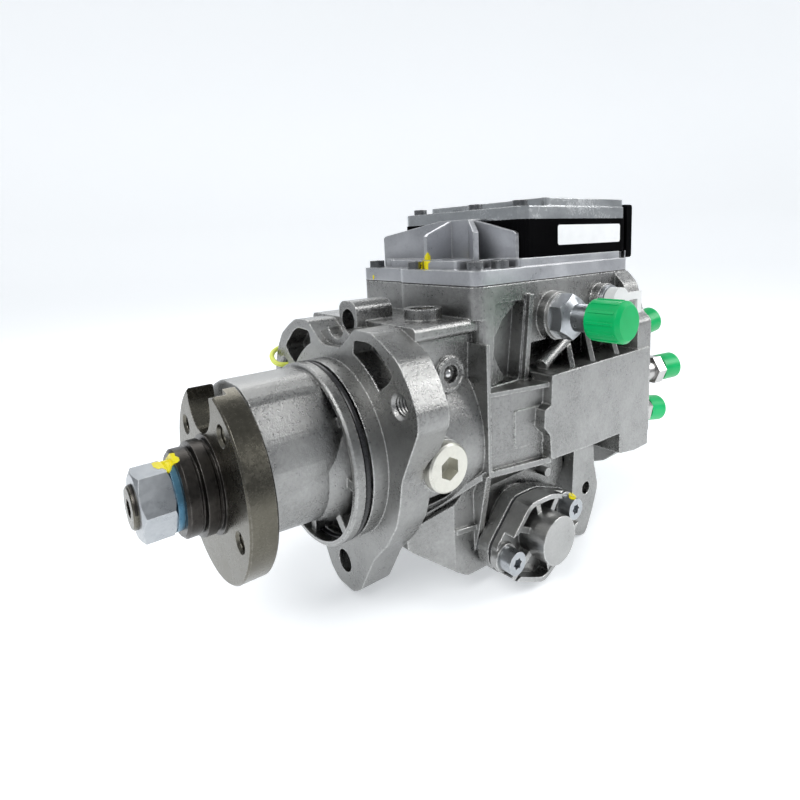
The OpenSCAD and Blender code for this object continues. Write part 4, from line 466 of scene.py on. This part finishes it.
# Yellow marks that show whether a screw has been undone: outlines in pixels of the photo's frame
NUT_MARK = [
    (150.8, 463.5), (153.9, 462.0), (164.1, 460.4), (166.1, 457.3), (169.2, 453.3), (174.3, 452.7),
    (175.7, 455.9), (179.0, 457.3), (179.8, 460.4), (177.8, 462.9), (174.9, 463.7), (172.2, 466.5),
    (171.2, 470.6), (169.2, 473.7), (166.7, 473.1), (165.7, 470.0), (162.0, 468.6), (158.0, 469.6),
    (152.9, 467.6)]
DOME_MARK = [
    (428.5, 252.1), (430.9, 256.8), (430.9, 261.4), (428.5, 264.1), (428.5, 269.7), (424.4, 271.0),
    (420.3, 269.7), (421.1, 265.4), (419.8, 263.6), (422.9, 259.9), (424.4, 255.8), (426.6, 252.5)]
BOLT_MARK = [
    (568.2, 493.6), (570.6, 492.0), (573.6, 493.4), (576.4, 496.4), (576.0, 499.4), (571.6, 500.0),
    (568.8, 498.2)]
# The mark on the cover's edge: its middle, half its width and height, and the shape of its rim
COVER_MARK_AT, COVER_MARK_HALF, COVER_MARK_SEED = (-44.4, 60.0, 88.4), (0.9, 1.6), 0.2

paint_over("mark_nut", NUT_MARK, "drive_shaft")
paint_over("mark_dome", DOME_MARK, "housing")
paint_patch("mark_cover", flat(COVER_MARK_AT, (1, 0, 0), (0, 0, 1)), *COVER_MARK_HALF, "housing",
            COVER_MARK_SEED)
paint_over("mark_bolt", BOLT_MARK, "housing")


def tube_piece(name, path, r, material, body):
    """A closed tube through the points of path, in millimetres."""
    curve = bpy.data.curves.new(name, "CURVE")
    curve.dimensions = "3D"
    curve.bevel_depth = r * MM
    curve.bevel_resolution = 4
    curve.resolution_u = 8
    spline = curve.splines.new("NURBS")
    spline.points.add(len(path) - 1)
    for point, at in zip(spline.points, path):
        point.co = (*(c * MM for c in at), 1.0)
    spline.use_cyclic_u = True
    spline.order_u = 4
    curve.materials.append(material)
    piece = bpy.data.objects.new(name, curve)
    bpy.context.scene.collection.objects.link(piece)
    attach(piece, body)


# The tie through the left hole of the flange
TIE_PATH = [(-60.5, 10, 36.5), (-60.5, -1, 36.5), (-64, -4.5, 37.5), (-70, -4.5, 40), (-75.5, -2, 43),
            (-77.0, 6, 46), (-76.0, 18, 46), (-71, 23, 43), (-64, 24, 38), (-60.5, 20, 36.5)]
TIE_RADIUS = 1.55
tube_piece("flange_tie", TIE_PATH, TIE_RADIUS, tie_yellow, "housing")


# Studio

BACKDROP_GLOW = 0.43
# Where the backdrop goes from dark to pale, in metres
PALE_Y, PALE_X = (-0.9, -0.15), (0.6, 0.28)


def backdrop_material():
    """Pale round the pump and darker on the photo's camera side, for dark reflections in the metal."""
    g = Graph("backdrop_pale")
    place = g.add("ShaderNodeSeparateXYZ")
    g.link(g.coord, place.inputs[0])
    side = g.math("MULTIPLY", g.ramp(place.outputs["Y"], *PALE_Y), g.ramp(place.outputs["X"], *PALE_X))
    tone = g.mix(g.noise(1.5, 2.0), (0.86, 0.87, 0.88), (0.88, 0.89, 0.9))
    g.link(g.mix(side, (0.52, 0.53, 0.54), tone), g.shader.inputs["Base Color"])
    g.shader.inputs["Roughness"].default_value = 0.9
    g.link(g.mix(side, (0.10, 0.10, 0.11), (0.94, 0.97, 1.0)), g.shader.inputs["Emission Color"])
    g.shader.inputs["Emission Strength"].default_value = BACKDROP_GLOW
    return g.material


FLOOR_GAP = 0.001
FLOOR_SIDES = 96
FLOOR_MIDDLE_Y = 0.08
# Radius and height of the floor's rings, which curve up into the backdrop, in metres
FLOOR_PROFILE = [(0.0, 0.0), (1.6, 0.0), (2.2, 0.06), (2.6, 0.3), (2.8, 0.8), (2.85, 1.8)]


def floor_piece():
    """The pale floor and backdrop as one round bowl."""
    low = cad_box[0][2] - FLOOR_GAP
    bm = bmesh.new()
    rings = []
    for r, h in FLOOR_PROFILE:
        count = 1 if r == 0 else FLOOR_SIDES
        rings.append([bm.verts.new((r * math.cos(2 * math.pi * i / count),
                                    r * math.sin(2 * math.pi * i / count) + FLOOR_MIDDLE_Y, low + h))
                      for i in range(count)])
    for inner, outer in zip(rings, rings[1:]):
        n = len(outer)
        for i in range(n):
            j = (i + 1) % n
            if len(inner) == 1:
                bm.faces.new((inner[0], outer[i], outer[j]))
            else:
                bm.faces.new((inner[i], outer[i], outer[j], inner[j]))
    mesh = bpy.data.meshes.new("floor")
    bm.to_mesh(mesh)
    bm.free()
    for polygon in mesh.polygons:
        polygon.use_smooth = True
    floor = bpy.data.objects.new("floor", mesh)
    bpy.context.scene.collection.objects.link(floor)
    mesh.materials.append(backdrop_material())


floor_piece()


# What the lights point at, and the side of each light, in metres
MIDDLE = (0.0, 0.08, 0.02)
LIGHT_SIDE = 0.6


def soft_light(name, place, power):
    """A square white light that points at the pump's middle."""
    data = bpy.data.lights.new(name, "AREA")
    data.shape = "RECTANGLE"
    data.size, data.size_y = LIGHT_SIDE, LIGHT_SIDE
    data.energy = power
    light = bpy.data.objects.new(name, data)
    light.location = place
    light.rotation_euler = (Vector(MIDDLE) - Vector(place)).to_track_quat("-Z", "Y").to_euler()
    bpy.context.scene.collection.objects.link(light)


soft_light("key", (0.80, 0.90, 0.66), 8.0)
soft_light("back", (-0.86, 0.37, 0.94), 3.0)
soft_light("left", (-0.70, -0.53, 0.94), 1.5)
soft_light("front", (0.35, -0.80, 0.94), 8.0)

WORLD_COLOUR, WORLD_STRENGTH = (0.94, 0.97, 1.0, 1.0), 0.42
world = bpy.data.worlds.new("studio")
bpy.context.scene.world = world
world.use_nodes = True
world.node_tree.nodes["Background"].inputs["Color"].default_value = WORLD_COLOUR
world.node_tree.nodes["Background"].inputs["Strength"].default_value = WORLD_STRENGTH
bpy.context.scene.view_settings.view_transform = "Standard"


# Camera

SENSOR_WIDTH = 36.0
LENS = 24.27
SHIFT_X, SHIFT_Y = -0.0458, -0.0929
NEAREST = 0.01
camera_data = bpy.data.cameras.new("camera")
camera = bpy.data.objects.new("camera", camera_data)
bpy.context.scene.collection.objects.link(camera)
bpy.context.scene.camera = camera
camera_data.sensor_width = SENSOR_WIDTH
camera_data.lens = LENS
camera_data.shift_x = SHIFT_X
camera_data.shift_y = SHIFT_Y
camera_data.clip_start = NEAREST
turn = Matrix((EYE_RIGHT, EYE_UP, EYE_BACK)).transposed().to_4x4()
camera.matrix_world = Matrix.Translation(EYE) @ turn
